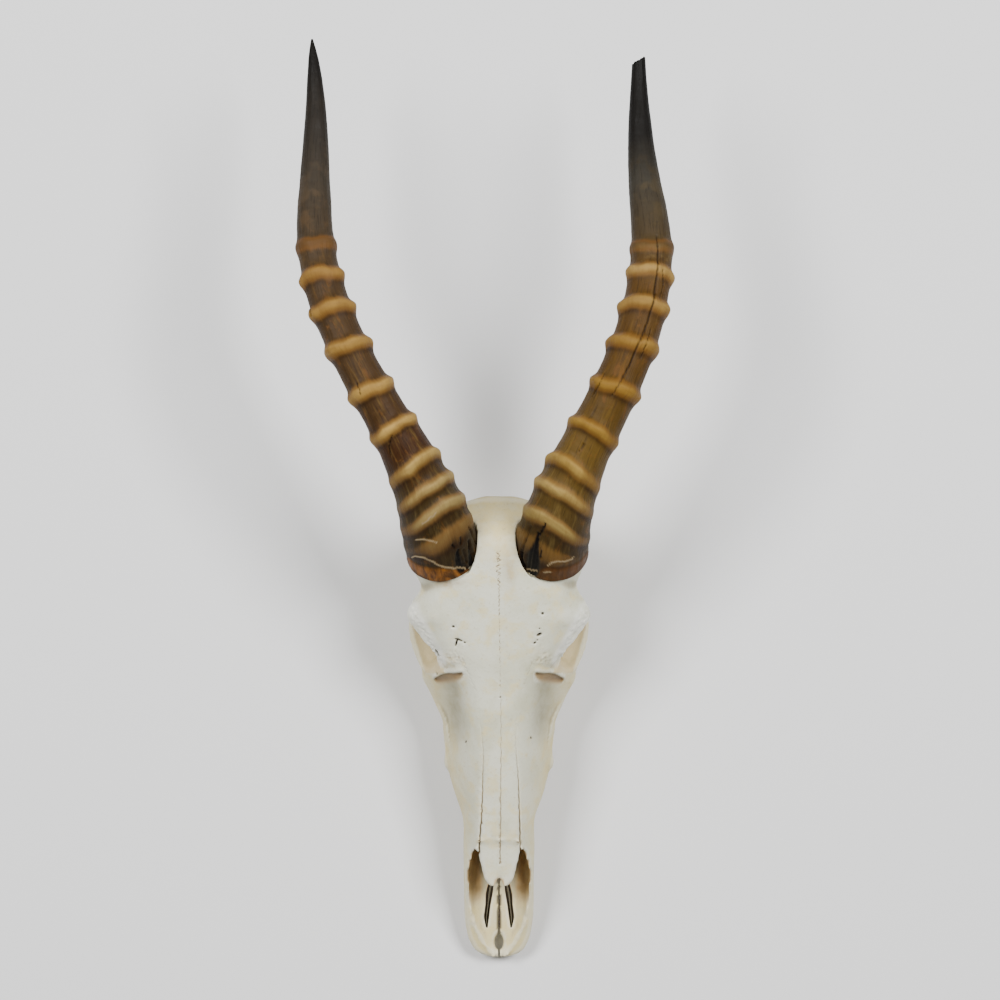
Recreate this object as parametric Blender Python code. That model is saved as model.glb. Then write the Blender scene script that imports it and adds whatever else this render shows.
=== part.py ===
"""A blesbok skull without its lower jaw: the bone, two ringed horns and twelve upper cheek teeth.

Sizes are written in millimetres and made metres by MM. The skull lies on its teeth and on the two
processes beside its neck joint. The datum is on the middle plane near the tip of the nose: x runs to
the right in a view from above with the horns at the top, y runs back from the nose towards the horns
and z runs up from the surface that it lies on. One empty carries every piece from that datum to the
frame.
"""

import math

import bmesh
import bpy
import numpy as np
from mathutils import Matrix, Vector

MM = 0.001

# Where the datum stands, so that the frame's origin is under the middle of the whole object.
DATUM = (9.3, -305.57, 0.0)

# The bone's sizes are written as a camera over the middle sees them at the height of the forehead.
CAMERA_HEIGHT = 3000.0
SIGHT_LEVEL = 80.0
SIGHT_CENTRE_Y = 310.8

# Clearance between pieces that touch.
FIT_GAP = 0.4

# The bone as an outer form: half sections from the middle of the roof round to the middle of the palate.
FACE_SECTIONS = {
    0.4: [(0, 14), (3, 14), (5.5, 13.7), (7, 13.2), (7.5, 12), (7, 10.8), (5.5, 10.2), (3, 10), (0, 10)],
    3: [(0, 15), (6, 15), (10.5, 14.6), (13.2, 13.6), (14, 12), (13.2, 10.4), (10.5, 9.4), (6, 9), (0, 9)],
    9: [(0, 17), (8, 17), (14.5, 16.8), (18, 15.6), (19, 13), (18, 10.5), (14.5, 9), (8, 8.5), (0, 9)],
    20: [(0, 21), (9, 21), (17, 21.5), (21, 20.5), (22.3, 16.5), (21, 11.5), (17, 9), (9, 9), (0, 10)],
    40: [(0, 32), (9, 32), (17.5, 33), (22, 31), (23.6, 23), (22.4, 14.5), (18, 11), (9, 12), (0, 14)],
    58: [(0, 46), (9, 46), (16, 47), (21.5, 43), (23.7, 31), (22.5, 19), (17.5, 14), (9, 15), (0, 17.5)],
    76: [(0, 66), (8, 65.4), (14.2, 62.5), (20.5, 52), (24.1, 38), (22.8, 24), (17, 17), (9, 18), (0, 21)],
    95: [(0, 72), (8, 71.4), (14.4, 68.5), (20.5, 58), (24.4, 41), (23, 26), (16.8, 18.5), (9, 19.5),
         (0, 23)],
    107: [(0, 75.6), (8, 75), (14.6, 72), (22, 61), (28.2, 41), (26.4, 27), (19, 19.5), (10, 20), (0, 24)],
    115: [(0, 78.2), (8, 77.6), (14.8, 74.6), (23, 63), (30.8, 40), (29.5, 28), (26, 20), (13, 20), (0, 25)],
    131: [(0, 83), (8, 82.4), (15, 79.4), (25, 67), (34.4, 41), (33.4, 29), (31, 20), (16, 20), (0, 26.5)],
    150: [(0, 88.6), (8, 88), (15.2, 85), (26, 72), (36.8, 44), (36.4, 31), (34.5, 20), (18, 20), (0, 27.5)],
    167: [(0, 93.6), (8, 93), (16, 90), (28, 77), (39.4, 47), (37.6, 32), (35.5, 20), (19, 20), (0, 28)],
    182: [(0, 98), (9, 97.4), (18, 94.4), (30.5, 81), (48, 49), (40, 33), (35.5, 20), (20, 20), (0, 29)],
    194: [(0, 101.6), (11, 101), (22, 98), (35, 85), (52.4, 50), (42, 35), (34, 22), (20, 22), (0, 31)],
    203: [(0, 104.4), (14, 103.8), (28, 100.4), (34, 89), (44, 50), (37, 38), (28, 27), (17, 27), (0, 33)],
    210: [(0, 106), (14, 105), (24, 101), (27, 90), (29, 54), (27, 42), (21, 33), (13, 32), (0, 36)],
}

# The forehead: half sections of the roof plate, ending in the rim over each eye socket.
ROOF_SECTIONS = {
    188: [(0, 99), (8, 98.4), (16, 96), (21, 92), (23, 88), (20, 85), (14, 84), (7, 84), (0, 84)],
    201: [(0, 104), (14, 103.4), (26, 101), (34.5, 96), (38.5, 90), (35, 87), (24, 89), (12, 88), (0, 88)],
    209: [(0, 106.4), (16, 106), (29, 104), (37.5, 99), (42, 93), (39, 89.5), (27, 93), (13, 91), (0, 89)],
    216: [(0, 108.4), (17, 108.2), (32, 106.4), (43.5, 100.4), (49.6, 93.6), (46, 90.5), (31, 96), (15, 94),
          (0, 91)],
    223: [(0, 110.4), (18, 110.4), (36, 108.6), (50, 101), (56.2, 93), (53, 90.5), (35, 99), (16, 96),
          (0, 93)],
    230: [(0, 112.4), (20, 112.6), (40, 110.8), (56, 102), (62, 93), (59, 90.8), (37, 101), (17, 98),
          (0, 95)],
    237: [(0, 114.2), (22, 114.6), (41, 112.4), (55.4, 103), (61.4, 94), (58.5, 91.5), (38, 102), (18, 100),
          (0, 97)],
    244: [(0, 116), (24, 116.6), (42, 114), (52, 104.6), (56.8, 95), (53.5, 91.5), (37, 102), (19, 100),
          (0, 98)],
    253: [(0, 117.8), (26, 118.4), (41.6, 115.6), (48.6, 106), (52.4, 95.6), (49, 90), (35, 98), (20, 99),
          (0, 100)],
    263: [(0, 119.6), (28, 120), (41, 117), (47.4, 107), (50.4, 95), (47, 88), (34, 92), (22, 95), (0, 100)],
    274: [(0, 121.6), (28, 122), (40, 118), (46.6, 108), (48.4, 94), (44, 84), (32, 84), (22, 88), (0, 100)],
    286: [(0, 121.4), (24, 121), (35, 115), (41.6, 104), (42, 90), (38, 80), (28, 80), (18, 86), (0, 98)],
    296: [(0, 115.4), (16, 114.4), (25, 109), (31, 99), (31, 88), (28, 80), (20, 80), (12, 84), (0, 94)],
}

# The braincase and the wall between the eye sockets: y, half width, lowest and highest z.
BRAIN_SECTIONS = [
    (200, 20, 34, 103), (214, 18, 37, 105), (228, 17, 40, 107), (244, 19, 42, 110), (258, 27, 44, 114),
    (271, 35, 44, 119), (284, 38.5, 45, 120), (294, 37, 47, 115), (303, 31.5, 51, 105), (309.5, 23, 58, 94),
    (313.4, 10, 68, 84),
]

# The space inside the nose behind the nostrils: half sections, closed all round.
NASAL_CAVITY = {
    50: [(0, 60), (6, 60), (10, 58), (15, 49), (17.5, 38), (16, 25), (12, 22), (6, 21), (0, 21)],
    76: [(0, 60), (6, 60), (10, 58), (16, 49), (19.5, 38), (18, 27), (13, 23.5), (6, 23.5), (0, 24)],
    110: [(0, 71), (6, 71), (10, 69), (16, 59), (20, 42), (18, 30), (12, 27), (6, 27), (0, 28)],
    150: [(0, 82), (5, 82), (9, 80), (13, 72), (15, 52), (13, 38), (9, 34), (5, 34), (0, 34)],
}

# The open trough of the upper lip bones in front of the nasal tips: y, half width, floor height.
TROUGH = [
    (-6, 9, 15.5), (4, 11, 15), (10, 15, 15), (20, 18.6, 16), (40, 20.4, 18), (60, 20.6, 20.5),
    (70, 18, 23), (79, 14, 28),
]
TROUGH_TOP = 90.0
# The trough's hollow section: share of its half width, height over its floor.
TROUGH_SLOPE = ((1.0, 15.0), (0.88, 7.0), (0.6, 2.0), (0.0, 0.0))

# The two nasal bones' free tips: y, inner edge, outer edge, thickness.
NASAL_TIPS = [
    (51.6, 3.2, 5.8, 3.2), (53.6, 2.2, 7.6, 3.2), (56, 1.2, 9.6, 3.2), (59.5, 0.5, 11, 3.2),
    (63, 0.2, 12.2, 3.3), (67, -0.6, 13.2, 3.4), (72, -1, 14, 3.6), (76, -1, 14.6, 3.6),
    (100, -1, 13.8, 3.8),
]

ROOF_LINE = ((50, 76, 211), (59.5, 66, 106))
ROOF_CURVE = 0.017

# Slots through the floor of the nose: middle line x, y and half width.
PALATE_SLOT = [
    (4.6, 52.4, 0.6), (5.4, 49.5, 1.7), (6.6, 43, 2.2), (7.4, 36, 1.9), (8.4, 28, 1.9), (8.4, 23.6, 1.2),
    (8.2, 20, 0.5),
]
NOTCH_CENTRE = (0, 10.4, 14)
NOTCH_HALF = (3.1, 6.0, 20)
# The slit in front of the notch, as the slots are given.
NOSE_SLIT = [(0, -8, 0.8), (0, 7, 0.8)]
# Lowest and highest z of the cutters for the slots and the slit.
SLOT_SPAN = (-5, 26)
SLIT_SPAN = (-8, 40)

# Bars and knobs on each side, given for the positive side: path points, then half sizes (side, up).
CHEEK_BAR = [
    ((34, 163, 44), 5, 8), ((44, 184, 47), 4, 8), ((50.6, 198, 48.5), 2.4, 7), ((56, 212, 49), 2.2, 6.2),
    ((59, 226, 50), 2.3, 6), ((55.4, 240, 51.5), 2.8, 5.6), ((49.2, 251, 53), 3.2, 5.2),
    ((44, 265, 52.5), 4, 5), ((37, 279, 52), 5, 6),
]
EYE_FLOOR = [
    ((44, 195, 47), 7.5, 3), ((47, 205, 43), 8, 3), ((50, 215, 42.5), 7.5, 3), ((53, 225, 45), 5, 3),
]
EYE_RIM = [
    (49.4, 216, 92), (43.2, 208.5, 89), (40.3, 201.5, 82), (42.3, 196.5, 73), (46.4, 194.4, 64.5),
    (51.4, 198, 57), (55.8, 207.5, 52.8), (58.6, 219, 51), (59, 230, 53.6), (57, 237.5, 63),
    (57, 239.5, 75), (58.6, 237, 87), (59.4, 231, 91.8), (55, 223.4, 92.6),
]
EYE_RIM_HALF = (1.9, 2.4)
POST_ORBITAL_BAR = [
    ((55, 240, 92), 4, 5.4), ((53.4, 243, 78), 3.2, 5), ((52.8, 242, 65), 3.2, 5),
    ((53.6, 238, 54), 3.4, 5),
]
NECK_PROCESS = [
    ((28, 288, 58), 6, 8), ((30.5, 286, 42), 4, 7), ((31.5, 284, 26), 3, 6), ((31.5, 281.5, 12), 2.6, 5),
    ((31, 280, 0.4), 2.5, 3.6),
]
WING_PLATE = [
    ((13, 190, 30), 1.8, 9), ((12, 205, 30), 1.7, 11), ((11, 220, 32), 1.7, 12), ((11.5, 236, 40), 2.4, 8),
    ((13, 248, 46), 3, 4),
]
EAR_TUBE = [((22, 268, 50), 5, 6), ((32, 272, 54), 5, 6), ((40.5, 276, 59), 4.6, 5.4)]
CHEEK_CREST = [
    ((33.4, 128.8, 39.5), 3.0, 3.6), ((34, 133, 40.5), 3.6, 5), ((33.4, 142, 41.5), 3.2, 5),
    ((34.8, 162, 44), 3.4, 5),
]
BASE_BAR = [((0, 212, 42), 9, 7), ((0, 240, 44), 9, 6), ((0, 270, 45), 11, 6), ((0, 291, 46), 13, 6)]
# Rounded lumps: centre and half sizes.
NAPE_RIDGE = ((0, 306.4, 90), (26, 6.4, 9))
LUMPS = {
    "tear_bone_lip": ((36, 198.5, 80), (5.6, 6, 7)),
    "ear_bulb": ((19, 263, 37), (8.5, 12.5, 12)),
    "neck_joint": ((13, 300, 40), (8.5, 9, 13)),
    "mastoid": ((32, 289, 62), (7, 8, 12)),
    "jaw_seat": ((40, 272, 49), (8, 8, 5)),
}
TEAR_LEDGE = [
    ((24, 196, 96), 3, 3.4), ((30, 194.4, 88), 3.4, 4), ((36, 193, 79.5), 3.6, 4.4),
    ((41.5, 192, 70), 3, 4), ((44.5, 191.4, 62), 2.2, 3),
]
TEAR_PIT = [
    ((24, 185.4, 93), 3, 3), ((28, 184.5, 88), 6, 4.6), ((34, 183.6, 79.4), 7.4, 5.8),
    ((40, 182, 68.5), 6.4, 5), ((44.6, 180, 57), 3, 2),
]
CHOANA = [(176, 5, 33, 40), (190, 8, 27, 46), (210, 8.4, 20, 46), (238, 7, 8, 40)]
NECK_HOLE = [
    ((0, 316, 47), 10.6, 9.4), ((0, 298, 53), 10.4, 9.4), ((0, 279, 62), 15, 13), ((0, 266, 68), 9, 8),
]

# The upper cheek teeth from front to back: name, middle y, x of the middle, length, width.
TEETH = [
    ("premolar_2", 113.5, 21.2, 6.6, 7.4),
    ("premolar_3", 121.8, 22.6, 8.6, 9.4),
    ("premolar_4", 131.6, 24.2, 9.6, 11.2),
    ("molar_1", 144.0, 26.0, 13.8, 13.4),
    ("molar_2", 160.4, 27.4, 17.4, 14.2),
    ("molar_3", 178.6, 27.8, 17.6, 13.4),
]
TOOTH_FLOOR = 20.0
TOOTH_ROOT_TOP = 29.0
TOOTH_ROOT_SHARE = 0.8
TOOTH_SIDES = 8
SOCKET_OVERRUN = 4.0

# The horns' true centre lines, and their plain half widths along the way.
LEFT_SPINE = [
    (-37, 275.5, 106), (-39.4, 284, 117), (-42, 294.4, 128), (-46.8, 310, 139.7), (-54, 327, 149),
    (-63, 345.6, 156.4), (-76, 368.4, 162), (-85.2, 384.4, 164.4), (-102, 416.5, 164), (-114.6, 448.7, 160),
    (-120, 471.5, 155), (-122, 488, 151.5), (-122.4, 520, 145.5), (-122, 546.6, 142), (-122, 572.6, 140),
    (-122.8, 592, 139.5), (-124.5, 617.8, 140),
]
RIGHT_SPINE = [
    (35, 276, 106), (36, 284, 117), (38.2, 294.4, 128), (42.6, 310, 139.7), (49, 327, 149),
    (57.4, 345.6, 156.4), (69.2, 368.4, 162), (76.8, 384.4, 164.4), (90, 416.5, 164), (98.2, 448.7, 160),
    (101, 471.5, 155), (100.8, 488, 151.5), (99.2, 504, 148.5), (97, 520.4, 145.5), (94.6, 546.6, 142),
    (93.5, 572.6, 140), (93, 603, 139.5),
]
# Half width at each y, with the rings left out.
LEFT_GIRTH = [
    (275, 24.8), (284, 24.6), (300, 23.2), (313, 21), (327, 18.6), (349, 16.2), (368, 14.5), (397, 13.5),
    (425, 13.2), (445, 13.1), (468, 12.5), (485, 12.2), (495, 11.8), (510, 11.1), (520, 10.3), (544, 8.7),
    (560, 7.7), (577, 6.3), (591, 5.1), (604, 3.5), (611, 2.2), (617.8, 0.6),
]
RIGHT_GIRTH = [
    (276, 24.8), (287, 24.2), (306, 21.7), (323, 19.6), (344, 17.2), (368, 15.9), (397, 15.1), (418, 14.8),
    (446, 14.3), (470, 13.6), (490, 12.9), (507, 12), (524, 10.7), (537, 9.6), (550, 8.5), (564, 7.5),
    (577, 6.3), (591, 5.2), (603, 4.5),
]
# Each ring: y on the centre line, height over the valleys, lean of its front and of its outer side tipwards.
LEFT_RINGS = [
    (290, 1.2, 12, -9), (302.4, 2.2, 12, -8), (316.3, 2.6, 9.5, -6), (332.3, 2.8, 8.5, -5),
    (358.7, 3, 3.2, -0.5), (383.7, 3, 2.3, 1), (411.4, 3.1, 2.3, 2.2), (436, 3, 2, 1.3), (457.6, 2.8, 2, 1),
    (479, 1.7, 0.6, 0),
]
RIGHT_RINGS = [
    (284, 0.9, 12, -8), (295.3, 2, 13.5, -9), (312.9, 2.6, 11.5, -6.5), (328.1, 2.8, 11.5, -6),
    (355.8, 3, 6, -1), (384.7, 3.1, 2.4, 1), (411.9, 3.1, 3.6, 2.2), (436.9, 3.1, 3.8, 1.6),
    (459.6, 2.7, 1.8, 0), (477.9, 1.6, -0.8, 0),
]
# How far a ring's flank runs towards the tip and towards the base.
RING_RISE = 3.6
RING_FALL = 5.4
# Low rings fade on the outer side, and all rings fade on the back.
LOW_RINGS_END = 150.0
LOW_RINGS_SPAN = 90.0
OUTER_FADE = 0.75
BACK_FADE = 0.45
HORN_SIDES = 14
HORN_STEP = 9.0
# Rows of corners round each ring's crest, from the base side to the tip side.
RING_ROWS = (-8.5, -3.6, 0.0, 2.8, 6.0)
LEAST_ROW_GAP = 1.6
# The bone's round post inside each horn's base, and the clear space cut for the horn.
SEAT_RADIUS = 22.6
SEAT_DEPTH = 7.5
POST_ROOT = 14.0
HORN_CLEARANCE = 1.8
CLEAR_STATIONS = 7
# The swelling of bone under each horn: distance below the seat, half width.
HORN_STALK = ((34.0, 20.0), (10.0, 23.0), (0.0, 24.0))
# The slant of the broken tip across the horn and from its front to its back.
BROKEN_TIP_SLOPE = (0.54, 0.18)

VOXEL = 1.6
SKULL_FACES_KEPT = 0.0265

BONE = ("bone", (0.80, 0.77, 0.68), 0.6)
HORN = ("horn", (0.20, 0.11, 0.05), 0.38)
ENAMEL = ("tooth", (0.72, 0.66, 0.50), 0.35)


def clear_scene():
    for thing in list(bpy.data.objects):
        bpy.data.objects.remove(thing, do_unlink=True)


def through(knots, values, places):
    """A smooth curve through the values at the knots, read at each place."""
    knots, values, places = np.asarray(knots, float), np.asarray(values, float), np.asarray(places, float)
    slopes = np.gradient(values, knots, axis=0)
    span = np.clip(np.searchsorted(knots, places, side="right") - 1, 0, len(knots) - 2)
    width = (knots[span + 1] - knots[span])[:, None]
    t = (places - knots[span])[:, None] / width
    a, b = values[span], values[span + 1]
    u, v = slopes[span] * width, slopes[span + 1] * width
    share = 3 * t**2 - 2 * t**3
    return a * (1 - share) + b * share + u * (t**3 - 2 * t**2 + t) + v * (t**3 - t**2)


def between(knots, per_span):
    """The knots with evenly spaced places added between each two."""
    spans = [np.linspace(a, b, per_span, endpoint=False) for a, b in zip(knots, knots[1:])]
    return np.append(np.concatenate(spans), knots[-1])


def mirrored_ring(half, y, per_span):
    """A closed ring of points at y from a half section that starts and ends on the middle plane."""
    whole = np.array(list(half) + [(-x, z) for x, z in half[-2:0:-1]], float)
    wrapped = np.concatenate([whole[-2:], whole, whole[:3]])
    places = np.arange(2, 2 + len(whole), 1.0 / per_span)
    ring = through(np.arange(len(wrapped)), wrapped, places)
    return [(x, y, z) for x, z in ring]


def bridged(mesh, rings):
    """A closed skin over rings of points, each bridged to the next and filled at both ends."""
    loops = []
    for ring in rings:
        corners = [mesh.verts.new(Vector(p) * MM) for p in ring]
        loops.append([mesh.edges.new((corners[i - 1], corners[i])) for i in range(len(corners))])
    for near, far in zip(loops, loops[1:]):
        bmesh.ops.bridge_loops(mesh, edges=near + far)
    for end in (loops[0], loops[-1]):
        bmesh.ops.contextual_create(mesh, geom=end)


def set_true(mesh):
    """Moves a form's points from where the camera sees them to where they are."""
    for vert in mesh.verts:
        x, y, z = vert.co / MM
        share = (CAMERA_HEIGHT - z) / (CAMERA_HEIGHT - SIGHT_LEVEL)
        vert.co = Vector((x * share, SIGHT_CENTRE_Y + (y - SIGHT_CENTRE_Y) * share, z)) * MM


def add_sections(mesh, sections, per_span=3, around=3):
    """A form through half sections set out along y."""
    ys = sorted(sections)
    table = np.array([sections[y] for y in ys], float)
    places = between(ys, per_span)
    halves = through(ys, table.reshape(len(ys), -1), places).reshape(len(places), -1, 2)
    bridged(mesh, [mirrored_ring([tuple(p) for p in half], y, around) for half, y in zip(halves, places)])


def add_ovals(mesh, stations, sides=24, per_span=3, squareness=2.3):
    """A form through upright ovals: y, half width, lowest and highest z."""
    ys = [s[0] for s in stations]
    places = between(ys, per_span)
    rings = []
    for y, (half, low, high) in zip(places, through(ys, [s[1:] for s in stations], places)):
        ring = []
        for k in range(sides):
            c, s = math.cos(2 * math.pi * k / sides), math.sin(2 * math.pi * k / sides)
            stretch = (abs(c) ** squareness + abs(s) ** squareness) ** (-1 / squareness)
            ring.append((half * c * stretch, y, (low + high) / 2 + (high - low) / 2 * s * stretch))
        rings.append(ring)
    bridged(mesh, rings)


def side_and_up(tangent):
    """Two directions square to a path: one to the side, one as near upright as it allows."""
    upright = Vector((0, 0, 1)) if abs(tangent.z) < 0.9 else Vector((0, 1, 0))
    side = tangent.cross(upright).normalized()
    return side, side.cross(tangent).normalized()


def add_tube(mesh, stations, mirror=1, sides=12, per_span=3):
    """A round-edged bar along stations of a point and two half sizes."""
    knots = np.arange(len(stations))
    table = [(p[0] * mirror, p[1], p[2], a, b) for p, a, b in stations]
    rows = through(knots, table, between(knots, per_span))
    rings = []
    for i, row in enumerate(rows):
        tangent = Vector(rows[min(i + 1, len(rows) - 1)][:3] - rows[max(i - 1, 0)][:3]).normalized()
        side, up = side_and_up(tangent)
        turns = [2 * math.pi * k / sides for k in range(sides)]
        middle = Vector(row[:3])
        rings.append([middle + side * row[3] * math.cos(t) + up * row[4] * math.sin(t) for t in turns])
    bridged(mesh, rings)


def add_rim(mesh, mirror=1, sides=8, per_span=3):
    """The raised edge round an eye socket, a bar that closes on itself."""
    points = np.array([(x * mirror, y, z) for x, y, z in EYE_RIM], float)
    wrapped = np.concatenate([points[-2:], points, points[:3]])
    path = through(np.arange(len(wrapped)), wrapped, np.arange(2, 2 + len(points), 1.0 / per_span))
    centre = Vector(points.mean(axis=0))
    loops = []
    for i in range(len(path)):
        here = Vector(path[i])
        tangent = (Vector(path[(i + 1) % len(path)]) - Vector(path[i - 1])).normalized()
        outward = (here - centre - (here - centre).dot(tangent) * tangent).normalized()
        across = tangent.cross(outward)
        corners = []
        for k in range(sides):
            turn = 2 * math.pi * k / sides
            offset = outward * EYE_RIM_HALF[0] * math.cos(turn) + across * EYE_RIM_HALF[1] * math.sin(turn)
            corners.append(mesh.verts.new((here + offset) * MM))
        loops.append([mesh.edges.new((corners[k - 1], corners[k])) for k in range(sides)])
    for i in range(len(loops)):
        bmesh.ops.bridge_loops(mesh, edges=loops[i - 1] + loops[i])


def add_lump(mesh, centre, half_sizes, mirror=1, detail=3):
    """A rounded lump."""
    place = Matrix.Translation(Vector((centre[0] * mirror, *centre[1:])) * MM)
    shape = Matrix.Diagonal([*(2 * h * MM for h in half_sizes), 1])
    bmesh.ops.create_icosphere(mesh, subdivisions=detail, radius=0.5, matrix=place @ shape)


def finished(name, mesh, material, parent):
    """A smooth-shaded object made from a bmesh, with its faces pointing out."""
    bmesh.ops.recalc_face_normals(mesh, faces=mesh.faces)
    data = bpy.data.meshes.new(name)
    mesh.to_mesh(data)
    mesh.free()
    data.shade_smooth()
    thing = bpy.data.objects.new(name, data)
    bpy.context.scene.collection.objects.link(thing)
    if material:
        data.materials.append(material)
    thing.parent = parent
    return thing


def material_of(slot, colour, roughness):
    made = bpy.data.materials.new(slot)
    made.use_nodes = True
    shader = made.node_tree.nodes["Principled BSDF"]
    shader.inputs["Base Color"].default_value = (*colour, 1)
    shader.inputs["Roughness"].default_value = roughness
    shader.inputs["Metallic"].default_value = 0.0
    return made


def cutter(name, mesh, parent):
    """A helper that only cuts or joins, so it is left out of the render."""
    thing = finished(name, mesh, None, parent)
    thing.hide_render = True
    thing.display_type = "WIRE"
    return thing


def bone_form():
    """All the lumps that the bone is fused from."""
    mesh = bmesh.new()
    add_sections(mesh, FACE_SECTIONS)
    add_sections(mesh, ROOF_SECTIONS)
    add_ovals(mesh, BRAIN_SECTIONS)
    add_tube(mesh, BASE_BAR)
    add_lump(mesh, *NAPE_RIDGE)
    bars = (
        CHEEK_BAR, EYE_FLOOR, CHEEK_CREST, POST_ORBITAL_BAR, NECK_PROCESS, WING_PLATE, EAR_TUBE, TEAR_LEDGE,
    )
    for mirror in (-1, 1):
        for bar in bars:
            add_tube(mesh, bar, mirror)
        for centre, half_sizes in LUMPS.values():
            add_lump(mesh, centre, half_sizes, mirror)
        add_rim(mesh, mirror)
        add_nasal_bone(mesh, mirror)
    set_true(mesh)
    for spine in (LEFT_SPINE, RIGHT_SPINE):
        seat, axis = horn_seat(spine)
        add_tube(mesh, [(tuple(seat - axis * below), half, half) for below, half in HORN_STALK])
    return mesh


def nose_space():
    """The space inside the nose behind the nostrils."""
    mesh = bmesh.new()
    add_sections(mesh, NASAL_CAVITY)
    set_true(mesh)
    return mesh


def slots():
    """The narrow openings through the floor of the nose: two palate slots and the slit before the notch."""
    mesh = bmesh.new()
    for line, (low, high) in ((PALATE_SLOT, SLOT_SPAN), (NOSE_SLIT, SLIT_SPAN)):
        for mirror in (-1, 1) if line is PALATE_SLOT else (1,):
            rings = []
            for x, y, half in line:
                near, far = mirror * x - half, mirror * x + half
                rings.append([(near, y, low), (far, y, low), (far, y, high), (near, y, high)])
            bridged(mesh, rings)
    set_true(mesh)
    return mesh


def trough_space():
    """The open trough of the nose in front of the nasal tips, clear to above the nose."""
    mesh = bmesh.new()
    rings = []
    for y, half, floor in TROUGH:
        left = [(-half * share, y, floor + rise) for share, rise in TROUGH_SLOPE]
        right = [(half * share, y, floor + rise) for share, rise in TROUGH_SLOPE[-2::-1]]
        rings.append([(-half, y, TROUGH_TOP), *left, *right, (half, y, TROUGH_TOP)])
    bridged(mesh, rings)
    set_true(mesh)
    return mesh


def roof_height(y, x):
    """Height of the outer skin of the nasal bones."""
    return np.interp(y, ROOF_LINE[0], ROOF_LINE[1]) - ROOF_CURVE * x * x


def add_nasal_bone(mesh, mirror):
    """One nasal bone from its free tip back to where the roof is whole."""
    rings = []
    ys = [s[0] for s in NASAL_TIPS]
    places = between(ys, 3)
    for y, (inner, outer, thick) in zip(places, through(ys, [s[1:] for s in NASAL_TIPS], places)):
        xs = np.linspace(inner, outer, 6)
        top = [(mirror * x, y, roof_height(y, x)) for x in xs]
        under = [(mirror * x, y, roof_height(y, x) - thick) for x in xs[::-1]]
        rings.append(top + under)
    bridged(mesh, rings)


def hollows():
    """The hollows that lie apart: tear pits, the nose tip's notch, the throat and the neck hole."""
    mesh = bmesh.new()
    for mirror in (-1, 1):
        add_tube(mesh, TEAR_PIT, mirror)
    add_lump(mesh, NOTCH_CENTRE, NOTCH_HALF)
    add_ovals(mesh, CHOANA, sides=16, squareness=3)
    add_tube(mesh, NECK_HOLE, sides=16)
    set_true(mesh)
    return mesh


def horn_seat(spine):
    """Where a horn starts, and the direction in which it leaves the bone."""
    start = Vector(spine[0])
    return start, (Vector(spine[1]) - start).normalized()


def add_disc(mesh, spine, start, end, radius, sides=28):
    """A plain disc on a horn's axis, from one distance along it to another."""
    seat, axis = horn_seat(spine)
    turn = axis.to_track_quat("Z", "Y").to_matrix().to_4x4()
    place = Matrix.Translation((seat + axis * (start + end) / 2) * MM) @ turn
    bmesh.ops.create_cone(
        mesh, cap_ends=True, segments=sides, radius1=radius * MM, radius2=radius * MM,
        depth=(end - start) * MM, matrix=place,
    )


def tooth_rings(length, width, grow=0.0):
    """A tooth's section from its flat grinding face up to its root, with rounded corners."""
    foot = -SOCKET_OVERRUN if grow else 0
    levels = [(foot, 0.97), (1.2, 1.0), (TOOTH_FLOOR, 1.0), (TOOTH_ROOT_TOP + grow, TOOTH_ROOT_SHARE)]
    rings = []
    for z, share in levels:
        half_width, half_length = width / 2 * share + grow, length / 2 * share + grow
        ring = []
        for k in range(TOOTH_SIDES):
            turn = 2 * math.pi * (k + 0.5) / TOOTH_SIDES
            c, s = math.cos(turn), math.sin(turn)
            stretch = (abs(c) ** 4 + abs(s) ** 4) ** (-1 / 4)
            ring.append((half_width * c * stretch, half_length * s * stretch, z))
        rings.append(ring)
    return rings


def add_tooth(mesh, x, y, length, width, grow=0.0):
    rings = tooth_rings(length, width, grow)
    bridged(mesh, [[(px + x, py + y, pz) for px, py, pz in ring] for ring in rings])


def ring_height(rings, crests, place, front, lateral):
    """How far the rings stand out in one row round the horn, on its front or its outer side."""
    height = 0.0
    for crest, (_, tall, _, _) in zip(crests, rings):
        low = min(1.0, max(0.0, (LOW_RINGS_END - crest) / LOW_RINGS_SPAN))
        away = place - crest
        reach = RING_RISE if away > 0 else RING_FALL
        fade = 1 - low * OUTER_FADE * max(0.0, lateral) - BACK_FADE * max(0.0, -front)
        height += tall * math.exp(-((away / reach) ** 2)) * fade
    return height


def horn_rows(crests, last):
    """Places of the rows of corners along a horn: some at every ring, and none too far apart."""
    stops = {0.0, 5.0, last}
    for crest in crests:
        stops |= {crest + step for step in RING_ROWS}
    places = []
    for stop in sorted(s for s in stops if 0 <= s <= last):
        if not places or stop - places[-1] > LEAST_ROW_GAP or stop == last:
            places.append(stop)
    rows = []
    for a, b in zip(places, places[1:]):
        rows += list(np.linspace(a, b, max(1, round((b - a) / HORN_STEP)), endpoint=False))
    return rows + [last]


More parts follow.
